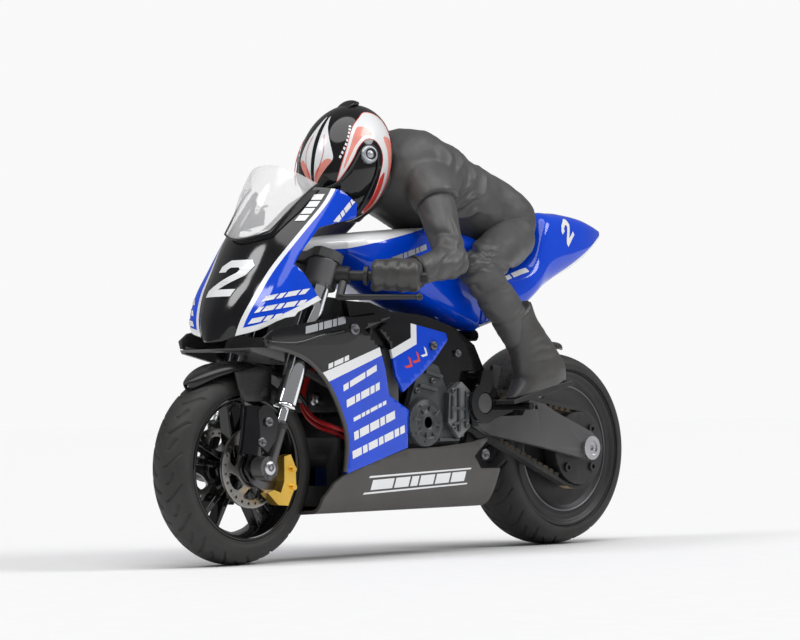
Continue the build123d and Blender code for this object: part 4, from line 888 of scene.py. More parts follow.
def mudguard(name, node, centre, inner, half, start, end, nose_share, body, tail_share=1.0):
    """Arched guard over a tyre between two angles; each end narrows to its share of the width."""
    rows = []
    for share in steps_between(0, 1, 1 / 40):
        angle = math.radians(start + (end - start) * share)
        narrow = min(1.0, nose_share + (1 - nose_share) * (share / 0.30) ** 0.7,
                     tail_share + (1 - tail_share) * ((1 - share) / 0.30) ** 0.7)
        row = []
        for k in range(-12, 13):
            turn = k / 12 * math.pi / 2
            y = half * narrow * math.copysign(abs(math.sin(turn)) ** 0.8, turn)
            row.append(centre + about_y(angle) * (inner - 1.6 + GUARD_ARCH * math.cos(turn) ** 0.7) + Y * y)
        rows.append(row)
    bm = grid_mesh(rows)
    face_towards(bm, Z)
    thicken(from_bmesh(name, bm, [MUDGUARD], body, [node]), GUARD_WALL, edge=0.2)


def mudguards():
    mudguard("front_mudguard_shell", "front_fender", FRONT_AXLE, 31.4, 8.7, 53, 142, 0.12, "fork_lower")
    mudguard("rear_hugger_shell", "rear_fender", REAR_AXLE, 35.1, 10.3, 98, 16, 0.45, "swingarm")
    skirt = [(66.8, 49.6), (66.4, 60.4), (74.0, 60.2), (81.6, 58.6), (80.4, 53.8), (78.4, 49.6)]
    stay = [(-33.0, 43.0), (-37.2, 43.0), (-41.5, 60.0), (-37.4, 60.6)]
    for name, outline, y, wall, material, body in (
            ("front_mudguard_skirts", skirt, 8.75, GUARD_WALL, MUDGUARD, "fork_lower"),
            ("rear_hugger_stays", stay, 6.2, 1.2, NYLON, "swingarm")):
        obj = from_bmesh(name, patch(outline, across_at(y), 2.0), [material], body)
        thicken(mirror_pair(obj), wall, edge=0.2)


# ------------------------------------------------------------------ rider figure
def limb_rings(stations, turns=28, steps=6, power=0.92):
    """Rings through ellipses: (centre, direction, half width across Y, half depth)."""
    flat = [(*centre, *direction, wide, deep) for centre, direction, wide, deep in stations]
    rings = []
    for values in smooth_curve(flat, steps):
        along = Vector(values[3:6]).normalized()
        side = (Y - along * along.y).normalized()
        rings.append(ring(Vector(values[:3]), side, along.cross(side), values[6], values[7], turns, power))
    return rings


def direction(turn, rise):
    """The direction at a turn round Z from forward, and a rise above the level."""
    return Vector((math.cos(rise) * math.cos(turn), math.cos(rise) * math.sin(turn), math.sin(rise)))


def ball_rings(centre, radius, turns=24, levels=12):
    lats = [-math.pi / 2 + math.pi * level / levels for level in range(1, levels)]
    return [[Vector(centre) + direction(a, lat) * radius for a in angles(turns)] for lat in lats]


def smoothed(bm, factor):
    bmesh.ops.smooth_vert(bm, verts=bm.verts[:], factor=factor, use_axis_x=True,
                          use_axis_y=True, use_axis_z=True)


def fused(name, forms, voxel, relief, material, body, replaced=(), smooth_rounds=6):
    """Joins closed forms into one skin, smooths it, and moves each point outwards by relief(point)."""
    raw = bpy.data.meshes.new("raw")
    bm = joined([grid_mesh(rings, closed_across=True, caps=True) for rings in forms])
    bm.to_mesh(raw)
    bm.free()
    helper = bpy.data.objects.new("helper", raw)
    bpy.context.scene.collection.objects.link(helper)
    modifier(helper, "REMESH", mode="VOXEL", voxel_size=voxel)
    skin = bpy.data.meshes.new_from_object(helper.evaluated_get(bpy.context.evaluated_depsgraph_get()))
    bpy.data.objects.remove(helper)
    bm = bmesh.new()
    bm.from_mesh(skin)
    bpy.data.meshes.remove(skin)
    for _ in range(smooth_rounds):
        smoothed(bm, 0.5)
    bm.normal_update()
    moved = [(vert, vert.co + vert.normal * relief(vert.co)) for vert in bm.verts]
    for vert, place in moved:
        vert.co = place
    smoothed(bm, 0.4)
    return from_bmesh(name, bm, [material], body, replaced)


def mirrored_point(point):
    """The same place on the left side, so that both sides crease alike."""
    return Vector((point.x, abs(point.y), point.z))


def folds(point, centre, along, reach, pitch, depth):
    """Creases across a limb near a joint: waves along the limb that fade away from the joint."""
    offset = point - Vector(centre)
    fade = math.exp(-(offset.length / reach) ** 2)
    wander = noise.noise(point * 0.13 + Vector((3.1, 1.7, 0.4))) * 3.2
    wave = abs(math.sin(math.pi * offset.dot(Vector(along).normalized()) / pitch + wander))
    return depth * fade * (wave ** 0.6 - 0.8)


CREASE_REACH = 23                             # the armpit creases are deepest this far from their hub
CREASE_SPREAD = 11


def fan(point, hub, count, depth):
    """Creases that spread from a point of the side view: raised folds with flat troughs between them."""
    x, z = point.x - hub[0], point.z - hub[1]
    reach = math.hypot(x, z)
    turn = math.atan2(z, x) % (2 * math.pi) + 0.08 * math.sin(reach * 0.2) + 0.16 * noise.noise(point / 9.0)
    swing = max(0.0, turn - 1.45) * 1.6
    fade = math.exp(-((reach - CREASE_REACH) / CREASE_SPREAD) ** 2) * max(0.0, math.sin(min(math.pi, swing)))
    strength = max(0.15, 0.75 + 1.3 * noise.noise(point / 7.0 + Vector((5.0, 2.0, 1.0))))
    return depth * strength * fade * ((1 - abs(math.sin(count * turn))) ** 1.4 - 0.25)


def groove(point, plane_point, normal, width, depth):
    """A seam: a shallow line where the surface crosses a plane."""
    gap = abs((point - Vector(plane_point)).dot(Vector(normal).normalized()))
    return -depth * max(0.0, 1 - (gap / width) ** 2)


def undulate(point, size, depth):
    return depth * noise.noise(point / size)


BACK = (-0.94, 0, -0.34)
ELBOW = (10.6, 33.6, 92.5)
KNEE = (-10.2, 25.2, 90.4)


def torso_relief(point):
    place = mirrored_point(point)
    lift = undulate(place, 9.0, 0.45) + undulate(place, 3.5, 0.16)
    lift += fan(place, (-1.0, 104.0), 11, 1.9) if place.y > 3 else 0.0
    lift += folds(place, (-46, 12, 103), (-0.3, 0.2, 0.95), 10, 5.0, 0.8)
    lift += groove(point, (-11.0, 0, 118), (1, 0, 0.36), 0.6, 0.4)
    return lift + (groove(place, (0, 6.5, 0), (0.10, 1, 0), 0.55, 0.35) if point.x < -8 else 0.0)


def limb_relief(joint, along, size):
    def relief(point):
        place = mirrored_point(point)
        return undulate(place, 8.0, 0.4) + folds(place, joint, along, size, 5.0, 1.5)
    return relief


def mirrored_rings(rings):
    return [[Vector((p.x, -p.y, p.z)) for p in ring][::-1] for ring in rings]


def both_sides(forms):
    return forms + [mirrored_rings(rings) for rings in forms]


def rider_body():
    torso = limb_rings([((11.0, 0, 123.0), BACK, 9.6, 8.2), ((6.2, 0, 124.4), BACK, 16.0, 12.6),
                        ((0.5, 0, 123.6), BACK, 19.2, 14.6), ((-9.0, 0, 119.8), BACK, 19.2, 15.2),
                        ((-17.0, 0, 116.4), BACK, 17.6, 15.0), ((-34.0, 0, 111.4), BACK, 15.2, 14.8),
                        ((-43.4, 0, 108.8), BACK, 16.0, 13.4), ((-50.6, 0, 106.4), BACK, 15.0, 11.4),
                        ((-55.6, 0, 104.2), BACK, 11.4, 8.0)], turns=36, power=0.9)
    shoulder = limb_rings([((-1.0, 12.0, 121.4), (0.1, 0.6, -0.79), 7.8, 9.2),
                           ((2.0, 17.8, 116.4), (0.1, 0.6, -0.79), 7.6, 8.4),
                           ((4.0, 21.8, 111.6), (0.08, 0.6, -0.79), 7.0, 7.6)])
    fused("rider_suit_back", [torso] + both_sides([shoulder]), 0.6, torso_relief, SUIT, "chassis",
          ["rider_torso"], smooth_rounds=4)
    collar = [Vector((14.0 + 1.2 * math.cos(a), 9.4 * math.sin(a), 121.5 + 7.4 * math.cos(a)))
              for a in angles(40, 41)]
    tube("rider_collar", collar, 1.2, SUIT, "chassis")


def rider_legs():
    thigh = limb_rings([((-44, 11.0, 102.6), (0.80, 0.40, -0.34), 8.2, 8.0),
                        ((-28, 18.2, 97.0), (0.82, 0.38, -0.30), 7.6, 7.4),
                        ((-10.4, 25.2, 91.0), (0.84, 0.34, -0.26), 5.9, 6.0)])
    knee = ball_rings(KNEE, 6.2)
    pad = limb_rings([((-6.2, 27.4, 92.8), (0.7, 0.5, 0.3), 2.6, 3.2),
                      ((-4.2, 28.8, 93.6), (0.7, 0.5, 0.3), 2.0, 2.6)])
    shin = limb_rings([((-10, 25.2, 90.8), (-0.62, 0, -0.78), 5.5, 5.4),
                       ((-19.4, 25.2, 82.0), (-0.62, 0, -0.78), 6.0, 6.3),
                       ((-28.6, 25.1, 72.4), (-0.64, 0, -0.76), 5.2, 6.0),
                       ((-36.0, 25.0, 64.6), (-0.68, 0, -0.72), 4.5, 5.2)])
    bend = limb_relief(KNEE, (0.1, 0.2, 0.9), 13)
    ankle = limb_relief((-34, 25, 68), (-0.62, 0, -0.78), 9)

    def leg_relief(point):
        place = mirrored_point(point)
        thigh_seam = groove(place, (-7.5, 24.0, 98.5), (0.31, -0.41, -0.86), 0.9, 0.9)
        boot_seam = groove(place, (-27.0, 29.0, 79.0), (-0.62, 0, -0.78), 0.6, 0.5)
        return bend(point) + 0.4 * ankle(point) + thigh_seam + boot_seam
    fused("rider_suit_legs", both_sides([thigh, knee, shin, pad]), 0.7, leg_relief, SUIT, "chassis",
          ["rider_legs"])
    boot = limb_rings([((-27.6, 25.1, 77.2), (-0.62, 0, -0.78), 5.9, 6.6),
                       ((-31.6, 25.1, 71.2), (-0.62, 0, -0.78), 5.5, 6.7),
                       ((-36.6, 25.0, 64.2), (-0.42, 0, -0.9), 5.3, 8.6),
                       ((-40.2, 25.0, 58.6), (-0.2, 0, -0.98), 5.1, 10.9),
                       ((-39.4, 25.0, 54.8), (-0.18, 0, -0.98), 4.9, 12.6),
                       ((-38.0, 25.0, 51.9), (-0.2, 0, -0.98), 4.3, 14.3)],
                      turns=40, power=0.8)

    def boot_relief(point):
        place = mirrored_point(point)
        return undulate(place, 6.0, 0.25) + folds(place, (-37, 25, 64), (0.3, 0, 0.95), 7, 3.6, 0.5)
    fused("rider_boots", both_sides([boot]), 0.5, boot_relief, BOOT, "chassis", smooth_rounds=3)
    sole = [(-52.7, 53.6), (-38.0, 50.2), (-23.2, 47.5), (-23.0, 48.7),
            (-30.0, 50.6), (-40.0, 53.0), (-52.5, 55.0)]
    bm = patch(sole, across_at(29.2), 1.2)
    face_towards(bm, Y)
    obj = from_bmesh("rider_boot_soles", bm, [MOULDED], "chassis", smooth=False)
    thicken(mirror_pair(obj), 8.4, edge=0.4)


def rider_arms():
    upper = limb_rings([((2.4, 17.6, 115.6), (0.1, 0.6, -0.79), 5.8, 6.2),
                        ((4.6, 22.0, 110.4), (0.1, 0.58, -0.8), 6.0, 6.3),
                        ((7.6, 27.6, 102.6), (0.08, 0.55, -0.82), 5.4, 5.6),
                        ((10.2, 32.4, 94.9), (0.05, 0.5, -0.86), 5.0, 5.2)])
    elbow = ball_rings(ELBOW, 5.5)
    fore = limb_rings([((10.0, 33.8, 92.6), (1, -0.04, -0.14), 5.0, 5.2),
                       ((17.0, 34.0, 91.2), (1, -0.03, -0.16), 5.1, 5.3),
                       ((24.0, 33.9, 89.6), (1, -0.04, -0.16), 4.2, 4.3),
                       ((29.0, 33.6, 88.6), (1, -0.06, -0.16), 3.5, 3.6)])
    left = [upper, elbow, fore]
    for side, label in SIDES:
        forms = left if side > 0 else [mirrored_rings(rings) for rings in left]
        obj = fused(f"rider_sleeve_{label}", forms, 0.65, limb_relief(ELBOW, (0.7, 0, 0.7), 14), SUIT, None,
                    ["rider_arms"] if side > 0 else [])
        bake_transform(obj)


BAR_SWEEP = Vector((-0.57, 0.82, -0.05)).normalized()


def fork_point(forward, side, up):
    return STEER_BASE + FORK_FORWARD * forward + Y * side + FORK_UP * up


BAR_ROOT = fork_point(4, 14, 64.4)


def rider_gloves():
    """Gloves: back of the hand, four curled fingers round the grip, a thumb, and a cuff."""
    outward = Vector((0.82, 0.57, 0)).normalized()

    def along_bar(distance, forward=0.0, up=0.0):
        return BAR_ROOT + BAR_SWEEP * distance + outward * forward + Vector((0, 0, up))
    forms = [limb_rings([(along_bar(16.2, -0.4, 0.4), BAR_SWEEP, 3.8, 3.9),
                         (along_bar(20, -0.3, 0.5), BAR_SWEEP, 5.0, 5.0),
                         (along_bar(26, -0.5, 0.7), BAR_SWEEP, 5.0, 5.0),
                         (along_bar(31, -0.8, 0.6), BAR_SWEEP, 3.6, 3.8)])]
    finger = [(-1.8, 3.7), (1.4, 4.0), (3.8, 2.6), (4.3, -0.2), (3.3, -2.8), (0.8, -3.7)]
    thumb = [(-3.0, 1.0), (-2.2, -2.4), (0.8, -3.8), (3.2, -3.0)]
    digits = [(17.8 + number * 3.7, finger, (1.9, 1.35)) for number in range(4)]
    digits.append((16.8, thumb, (1.6, 1.4)))
    for at, arc, size in digits:
        path = smooth_curve([tuple(along_bar(at, forward, up)) for forward, up in arc], 4)
        forms.append(swept(path, [size] * len(path), 14, BAR_SWEEP))
    cuff = limb_rings([((32.2, 32.6, 88.0), (1, -0.1, -0.16), 4.0, 4.1),
                       ((29.6, 33.3, 88.5), (1, -0.2, -0.16), 4.4, 4.5),
                       ((26.6, 34.0, 89.1), (1, -0.2, -0.16), 4.5, 4.6)])
    fused("rider_gloves_skin", both_sides(forms + [cuff]), 0.45, lambda point: undulate(point, 3.0, 0.25),
          BOOT, "steering", ["rider_gloves"])
    for side, label in SIDES:
        along = Vector((1, -0.2 * side, -0.16)).normalized()
        across = along.cross(Z).normalized()
        strap = ring(Vector((27.4, 33.9 * side, 88.9)), across, along.cross(across), 4.65, 4.65, 36)
        tube(f"glove_strap_{label}", strap + strap[:1], 0.7, MOULDED, "steering", turns=10)


# ------------------------------------------------------------------ helmet
HELMET_CENTRE = Vector((22.8, 0, 125.2))
HELMET_TILT = Matrix.Rotation(math.radians(8), 3, "Z") @ Matrix.Rotation(math.radians(52), 3, "Y")
HELMET_AXES = (20.2, 13.8, 16.2)


def helmet_point(direction, lift):
    """Where a direction from the centre, in the helmet's own tilt, meets the shell."""
    jaw = max(0.0, -direction.z)
    stretch = 1 + 0.06 * jaw * max(0.0, direction.x) - 0.08 * jaw * max(0.0, -direction.x)
    narrow = 1 - 0.10 * jaw ** 2
    local = Vector((direction.x * HELMET_AXES[0] * stretch, direction.y * HELMET_AXES[1] * narrow,
                    direction.z * HELMET_AXES[2]))
    return HELMET_CENTRE + HELMET_TILT @ (local + local.normalized() * lift)


def on_helmet(lift=0.0):
    """Places (turn, rise) in degrees; turn 0 faces ahead, 90 is the left side, rise 90 is the crown."""
    def place(turn, rise):
        return helmet_point(direction(math.radians(turn), math.radians(rise)), lift)
    return place


def over_helmet(lift=0.0):
    """Places (roll, out) in degrees; roll runs from the face, 0, over the crown, 90; out is to the left."""
    def place(roll, out):
        a, b = math.radians(roll), math.radians(out)
        return helmet_point(Vector((math.cos(b) * math.cos(a), math.sin(b), math.cos(b) * math.sin(a))),
                            lift)
    return place


BROW = [(0, 27), (18, 26), (34, 25), (50, 25), (68, 28), (80, 29), (89, 26), (94, 18), (92, 10), (88, 6)]
JAW = [(88, 6), (82, 0), (75, -4), (66, -8), (58, -12), (43, -20), (28, -26), (12, -28), (0, -28)]
BAND = [(35, 26), (45, 34), (56, 40), (72, 46), (90, 50), (108, 50), (126, 44), (139, 36), (140, 16),
        (130, 0), (111, -14), (96, -28), (80, -38), (63, -46), (44, -44), (36, -36), (40, -31), (54, -26),
        (68, -17), (80, -9), (92, -2), (99, 8), (101, 20), (96, 30), (82, 34), (68, 32), (50, 29)]
BAND_INLAY = [(50, 32), (60, 38), (76, 43), (94, 46), (108, 44),
              (110, 30), (104, 24), (98, 34), (82, 38), (66, 36)]
REAR_FLASH = [(113, 8), (120, -6), (110, -18), (96, -30), (80, -41),
              (66, -46), (80, -33), (93, -20), (103, -6)]
CHIN_FLASH = [(78, -13), (68, -19), (54, -27), (40, -33), (42, -41), (58, -38), (74, -28), (86, -16)]
# Blades over the crown, in (roll, out): bottom tip, outer edge, top tip, then back down beside the middle.
BLADE = [(31, 2.5), (38, 9), (47, 18), (57, 27), (66, 25), (78, 18), (92, 9), (107, 2.5), (92, 3),
         (76, 3.4), (60, 3), (45, 2.6)]
BLADE_FOOT = [(31, 2.5), (38, 9), (47, 18), (56, 26), (58, 19), (52, 11), (44, 4)]
BLADE_LINE = [(40, 5.0), (52, 11.5), (66, 14.5), (82, 9.5), (81, 8.9), (66, 13.6), (53, 10.8), (42, 4.8)]


def mirrored_outline(points, axis=0):
    """An outline mirrored in one of its two axes, still running the same way round."""
    return [(-u, v) if axis == 0 else (u, -v) for u, v in reversed(points)]


def run_round(outline, lift):
    """A closed path over the helmet from an outline in (turn, rise)."""
    return [on_helmet(lift)(turn, rise) for turn, rise in outline + outline[:1]]


def helmet_shell():
    """Shell in lacquer colours with generic sweeping stripes and an open face port."""
    turns, rises = steps_between(-180, 180, 3), steps_between(-60, 90, 3)
    bm = grid_mesh([[(turn, 0, rise) for turn in turns] for rise in rises])
    regions = [(smooth_curve(shape, 3, closed=True), number) for shape, number in
               [(BAND, 1), (BAND_INLAY, 3), (REAR_FLASH, 3), (CHIN_FLASH, 2)]]
    regions += [(mirrored_outline(shape), number) for shape, number in regions]
    port = smooth_curve(BROW + JAW[1:], 3)
    port += mirrored_outline(port[1:-1])
    for shape, _ in regions + [(port, 0)]:
        score(bm, shape, SIDE_VIEW)
    paint(bm, lambda middle: max([0] + [n for shape, n in regions if inside(shape, middle.x, middle.z)]))
    cut_away(bm, lambda middle: inside(port, middle.x, middle.z))
    lay(bm, on_helmet())
    bmesh.ops.remove_doubles(bm, verts=bm.verts[:], dist=0.01)
    even_normals(bm)
    face_towards(bm, (1, 0, 1))
    obj = from_bmesh("helmet_lacquered_shell", bm, [GLOSS_BLACK, WHITE, RED, SALMON], "chassis",
                     ["helmet_shell"])
    thicken(obj, 1.3, edge=0.15)
    tube("helmet_port_seal", run_round(port, 0.1), 0.42, MOULDED, "chassis", turns=10)


def helmet_design():
    """Printed blades over the crown, dashes above the brow, and the stripe's fine outline."""
    for label, shape, material, lift in (("blades", BLADE, WHITE, 0.06),
                                         ("blade_feet", BLADE_FOOT, SALMON, 0.10),
                                         ("blade_lines", BLADE_LINE, RED, 0.12)):
        fine = smooth_curve(shape, 3, closed=True)
        decal(f"helmet_{label}", [fine, mirrored_outline(fine, 1)],
              over_helmet(lift), material, 3.0, mirror=False)
    dashes = [[(t, r), (t + 3.6, r + 0.7), (t + 3.2, r + 3.4), (t - 0.4, r + 2.7)]
              for t, r in ((54 + 6.2 * k, 43.0 + 1.35 * k - 0.03 * k * k) for k in range(9))]
    dashes += [mirrored_outline(shape) for shape in dashes]
    decal("helmet_dashes", dashes, on_helmet(0.08), WHITE, 2.0, mirror=False)
    outline = run_round(smooth_curve(BAND, 3, closed=True), 0.0)
    mirror_pair(tube("helmet_band_outline", outline, 0.13, RED, "chassis", turns=8))


def visor():
    edge = [(turn, rise * 0.97) for turn, rise in smooth_curve(BROW + JAW[1:], 3)]
    bm = patch(edge + mirrored_outline(edge[1:-1]), on_helmet(-0.15), 3.0)
    face_towards(bm, (1, 0, -1))
    obj = from_bmesh("helmet_dark_visor", bm, [GLOSS_BLACK], "chassis",
                     ["helmet_visor"])
    thicken(obj, 0.8, edge=0.0)


def helmet_fittings():
    """Visor pivots, the crown's air scoop, and the roll round the neck opening."""
    profile = [(0.01, 1.5), (1.0, 1.5), (1.2, 1.2), (1.7, 1.2),
               (1.9, 1.6), (2.5, 1.4), (2.9, 0.7), (2.9, -0.4)]
    for side, label in SIDES:
        centre = on_helmet()(83 * side, 19)
        bm = turned(centre, (on_helmet(1.0)(83 * side, 19) - centre).normalized(), profile)
        paint(bm, lambda middle: int(1.75 < (middle - centre).length < 2.6 or (middle - centre).length > 2.9))
        from_bmesh(f"visor_pivot_{label}", bm, [SILVER, MOULDED], "chassis")
    scoop = limb_rings([(over_helmet(-1.0)(122, 2), (0.5, 0, 0.9), 1.4, 0.8),
                        (over_helmet(-0.3)(130, 2), (0.7, 0, 0.7), 2.8, 1.3),
                        (over_helmet(0.1)(138, 2), (0.9, 0, 0.4), 3.2, 1.5),
                        (over_helmet(0.2)(148, 2), (1, 0, 0), 2.6, 0.9)])
    from_bmesh("helmet_crown_scoop", grid_mesh(scoop, closed_across=True, caps=True),
               [GLOSS_BLACK], "chassis")
    neck = [on_helmet()(turn, -60) for turn in steps_between(0, 360, 9)]
    tube("helmet_neck_roll", neck, 1.1, MOULDED, "chassis", turns=12)


# ------------------------------------------------------------------ printed marks
NUMBER_HEIGHT = 1.38
NUMBER_TWO = [(0, 0), (1, 0), (1, 0.27), (0.44, 0.27), (0.98, 0.80), (1.0, 1.14), (0.80, 1.38),
              (0.24, 1.38), (0.0, 1.15), (0.0, 0.93), (0.31, 0.93), (0.31, 1.03), (0.38, 1.10),
              (0.60, 1.10), (0.68, 1.02), (0.67, 0.90), (0.0, 0.25)]


def decal(name, outlines, place, material=WHITE, step=0.7, mirror=True):
    """Thin printed shapes laid on a panel, all in one piece."""
    obj = from_bmesh(name, joined([patch(outline, place, step) for outline in outlines]),
                     [material], "chassis")
    if mirror:
        mirror_pair(obj)


def bars(start, end, height, widths, gap=0.25, lean=0.25):
    """Slanted blocks in a row rearwards from start to end, as (x, z) outlines; widths are proportions."""
    start, end = Vector(start), Vector(end)
    unit = (end - start).normalized()
    top = Vector((unit.y, -unit.x)) * height + unit * lean * height
    scale = (end - start).length / (sum(widths) + gap * (len(widths) - 1))
    out, at = [], 0.0
    for width in widths:
        a, b = start + unit * at, start + unit * (at + width * scale)
        out.append([tuple(p) for p in (a, b, b + top, a + top)])
        at += (width + gap) * scale
    return out


def placed(shape, corner, turn):
    """An outline turned about its origin and moved to a corner."""
    c, s = math.cos(turn), math.sin(turn)
    return [(corner[0] + u * c - v * s, corner[1] + u * s + v * c) for u, v in shape]


def chevron(tip, size, turn=0.5):
    """An arrow-like mark in (x, z)."""
    shape = [(0, 0), (0.55, 0.5), (0.2, 0.5), (-0.35, 0), (0.2, -0.5), (0.55, -0.5)]
    return placed([(size * u, size * v) for u, v in shape], tip, turn)


def number_at(corner, width, height, lean, turn=0.0):
    """The start number as an outline, its foot at the corner; lean slants its upper end."""
    return placed([(u * width + lean * v, v / NUMBER_HEIGHT * height) for u, v in NUMBER_TWO], corner, turn)


def nose_bars(start, end, widths, height=1.7, gap=0.35):
    """Blocks in (out, z) that climb with the panel, upright at their ends."""
    start, end = Vector(start), Vector(end)
    total = sum(widths) + gap * (len(widths) - 1)
    top = Vector((0.08, height))
    out, at = [], 0.0
    for width in widths:
        a, b = start.lerp(end, at / total), start.lerp(end, (at + width) / total)
        out.append([tuple(p) for p in (a, b, b + top, a + top)])
        at += width + gap
    return out


def surface_of(obj_name, offset=DECAL):
    """Places (x, z) on the left face of a finished piece by a ray from the left."""
    depsgraph = bpy.context.evaluated_depsgraph_get()
    depsgraph.update()
    solid = bpy.data.objects[obj_name].evaluated_get(depsgraph)

    def place(x, z):
        hit, where, normal, _ = solid.ray_cast(Vector((x, 80, z)) * MM, -Y)
        return (where / MM + normal * offset) if hit else Vector((x, 17.0, z))
    return place


def nose_marks():
    place = on_nose(0.2)
    decal("number_on_nose", [number_at((-1.05, 81.6), 1.75, 11.2, 0.42)], place, step=0.2, mirror=False)
    rows = [((2.5, 79.6), (4.0, 82.0), (2, 1, 2, 1)), ((2.45, 76.2), (4.05, 78.6), (1, 2, 1, 2, 1)),
            ((2.4, 72.9), (3.9, 75.2), (2, 1, 1, 2))]
    blocks = [[(1.52, z), (1.52, z + 1.8), (1.86, z + 1.8), (1.86, z)]
              for z in (104.6, 106.8, 109.0, 111.2)]
    groups = [("nose_side_marks", f"_{k}", nose_bars(*row)) for k, row in enumerate(rows)]
    for name, number, shapes in groups + [("nose_strip_marks", "", blocks)]:
        far = [mirrored_outline(shape) for shape in shapes]
        decal(name + number, shapes, place, step=0.12, mirror=False)
        decal(f"{name}_right{number}", far, place, step=0.12, mirror=False)
    upper = bars((49.1, 103.2), (40.6, 110.8), 1.5, (2, 1, 2, 1))
    decal("nose_upper_marks", upper, surface_of("nose_cowl_shell", 0.12), step=0.6)


def side_marks():
    fairing = surface_of("side_fairing_shells")
    rows = [((45.0, 52.3), (31.0, 58.6), 1.9, (1, 3, 2)),
            ((43.2, 47.3), (29.0, 52.8), 2.3, (2, 1, 2, 1, 1)),
            ((40.0, 42.9), (25.6, 48.2), 1.2, (2, 1, 1, 2, 1, 1)),
            ((39.6, 37.1), (21.4, 43.6), 2.5, (1, 2, 2, 1, 2)),
            ((40.4, 31.4), (16.9, 39.2), 2.3, (2, 1, 2, 1, 2, 1, 1))]
    decal("fairing_marks", [shape for row in rows for shape in bars(*row)], fairing)
    decal("fairing_top_marks", bars((62.4, 69.9), (45.6, 73.2), 2.2, (3, 1, 2, 1, 2)), fairing, SILVER)
    decal("fairing_small_marks", bars((52.3, 59.2), (43.8, 62.0), 1.5, (1, 2, 1)), fairing)
    mid_cover = surface_of("mid_cover_shells")
    decal("mid_cover_marks", [chevron((14.2, 60.6), 3.6), chevron((10.6, 62.2), 3.6)], mid_cover, RED)
    decal("mid_cover_flash", [chevron((7.0, 64.0), 3.2)], mid_cover)
    rules = [[(34.6, 20.2), (-13.0, 22.0), (-13.3, 22.5), (34.0, 20.8)],
             [(32.6, 25.3), (-14.4, 26.8), (-14.6, 27.3), (32.2, 25.9)]]
    belly = bars((31.4, 21.5), (-11.6, 23.1), 3.1, (3, 2, 1, 2, 2, 2))
    decal("belly_marks", belly + rules, surface_of("belly_pan_shell"))


def tank_and_tail_marks():
    tank_marks = bars((20.0, 92.6), (4.4, 97.2), 1.7, (3, 1, 2, 1, 2))
    decal("tank_marks", tank_marks, surface_of("tank_cover"), SILVER)
    on_tail = surface_of("tail_cover", 0.16)
    left = mirrored_outline(number_at((73.6, 100.4), 6.4, 7.2, 0.9, 0.75))
    decal("tail_number", [left], on_tail, step=0.6, mirror=False)
    low, high = box_of(left)
    right = [(low[0] + high[0] - x, z) for x, z in left]
    flipped = Matrix.Diagonal((1, -1, 1))
    decal("tail_number_right", [right], lambda x, z: flipped @ on_tail(x, z), step=0.6, mirror=False)
    # painted highlight: white bars on the tail where it catches the light
    decal("tail_highlight_bars", bars((-31.5, 86.6), (-50.4, 91.4), 1.3, (1, 1, 2)), on_tail)


# ------------------------------------------------------------------ engine side, fasteners, drive
def socket_screw(name, spot, y, side, radius, body, material=DARK_STEEL, height=1.1):
    """A round-headed screw with a six-sided socket, its axis across the model."""
    profile = [(radius * 0.42, height * 0.35), (radius * 0.45, height), (radius * 0.8, height * 0.98),
               (radius * 0.96, height * 0.75), (radius, height * 0.4), (radius, 0.0)]
    centre = Vector((spot[0], y * side, spot[1]))
    rows = []
    for number, (reach, out) in enumerate(profile):
        row = []
        for a in angles(36):
            six_sided = math.cos(a % (math.pi / 3) - math.pi / 6) if number < 2 else 1
            row.append(centre + about_y(a) * (reach / six_sided) + Y * side * out)
        rows.append(row)
    bm = grid_mesh(rows, closed_across=True)
    bm.verts.ensure_lookup_table()
    bm.faces.new(bm.verts[:36])
    even_normals(bm)
    return from_bmesh(name, bm, [material], body)


def inner_shroud():
    """Dark wall between the side covers, behind the fork."""
    outline = with_far_side([(0, 79.0), (12.0, 79.0), (18.4, 72.0), (17.6, 58.0), (17.0, 46.0)])
    bm = patch(outline, lambda y, z: Vector((31.0 + 0.012 * y * y - 0.25 * (z - 60), y, z)), 2.5)
    thicken(from_bmesh("inner_shroud", bm, [MOULDED], "chassis"), 0.8)
    plug = [(0.01, 1.6), (1.2, 1.5), (1.9, 1.1), (2.1, 0.4), (2.1, -0.6)]
    from_bmesh("shroud_plug", turned((34.2, -4.0, 49.8), X, plug, 32), [ALLOY], "chassis")
    sill = [(24.0, 24.0), (-13.5, 25.0), (-13.5, 39.0), (-2.0, 43.0), (12.0, 43.0), (24.0, 38.0)]
    plates = from_bmesh("inner_sill_plates", patch(sill, across_at(12.6), 4.0), [MOULDED], "chassis")
    thicken(mirror_pair(plates), 0.8)


def axle_caps():
    """Bright ends of the front axle."""
    face = [(0.01, 0.9), (1.3, 0.9), (2.0, 0.7), (2.25, 0.2), (2.25, -0.6)]
    for side, label in SIDES:
        cap = turned((FRONT_AXLE.x, side * 16.3, FRONT_AXLE.z), Y * side, face)
        from_bmesh(f"front_axle_cap_{label}", cap, [ALLOY], "fork_lower")


def screws():
    spots = [("cover", (41.9, 71.5), 20.9, 1.9), ("belly", (-20.6, 31.5), 17.8, 1.9),
             ("mid", (3.5, 66.5), 18.3, 1.5),
             ("frame", (-9.7, 64.2), 16.5, 1.4)]
    guard_spots = [((76.1, 43.4), 17.6, 1.5), ((79.0, 37.4), 17.6, 1.5), ((74.6, 29.6), 16.3, 1.3)]
    for side, label in SIDES:
        for name, spot, y, radius in spots:
            obj = socket_screw(f"screw_{name}_{label}", spot, y, side, radius, "chassis")
            if (name, side) == ("cover", 1):
                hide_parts("body_screws")
        for number, (spot, y, radius) in enumerate(guard_spots):
            socket_screw(f"guard_screw_{number}_{label}", spot, y, side, radius, "fork_lower")


ENGINE_FACE = 16.4                            # the dummy engine covers' outer face, in Y
CLUTCH = (7.4, 42.2)                          # middle of the round cover, in (x, z)
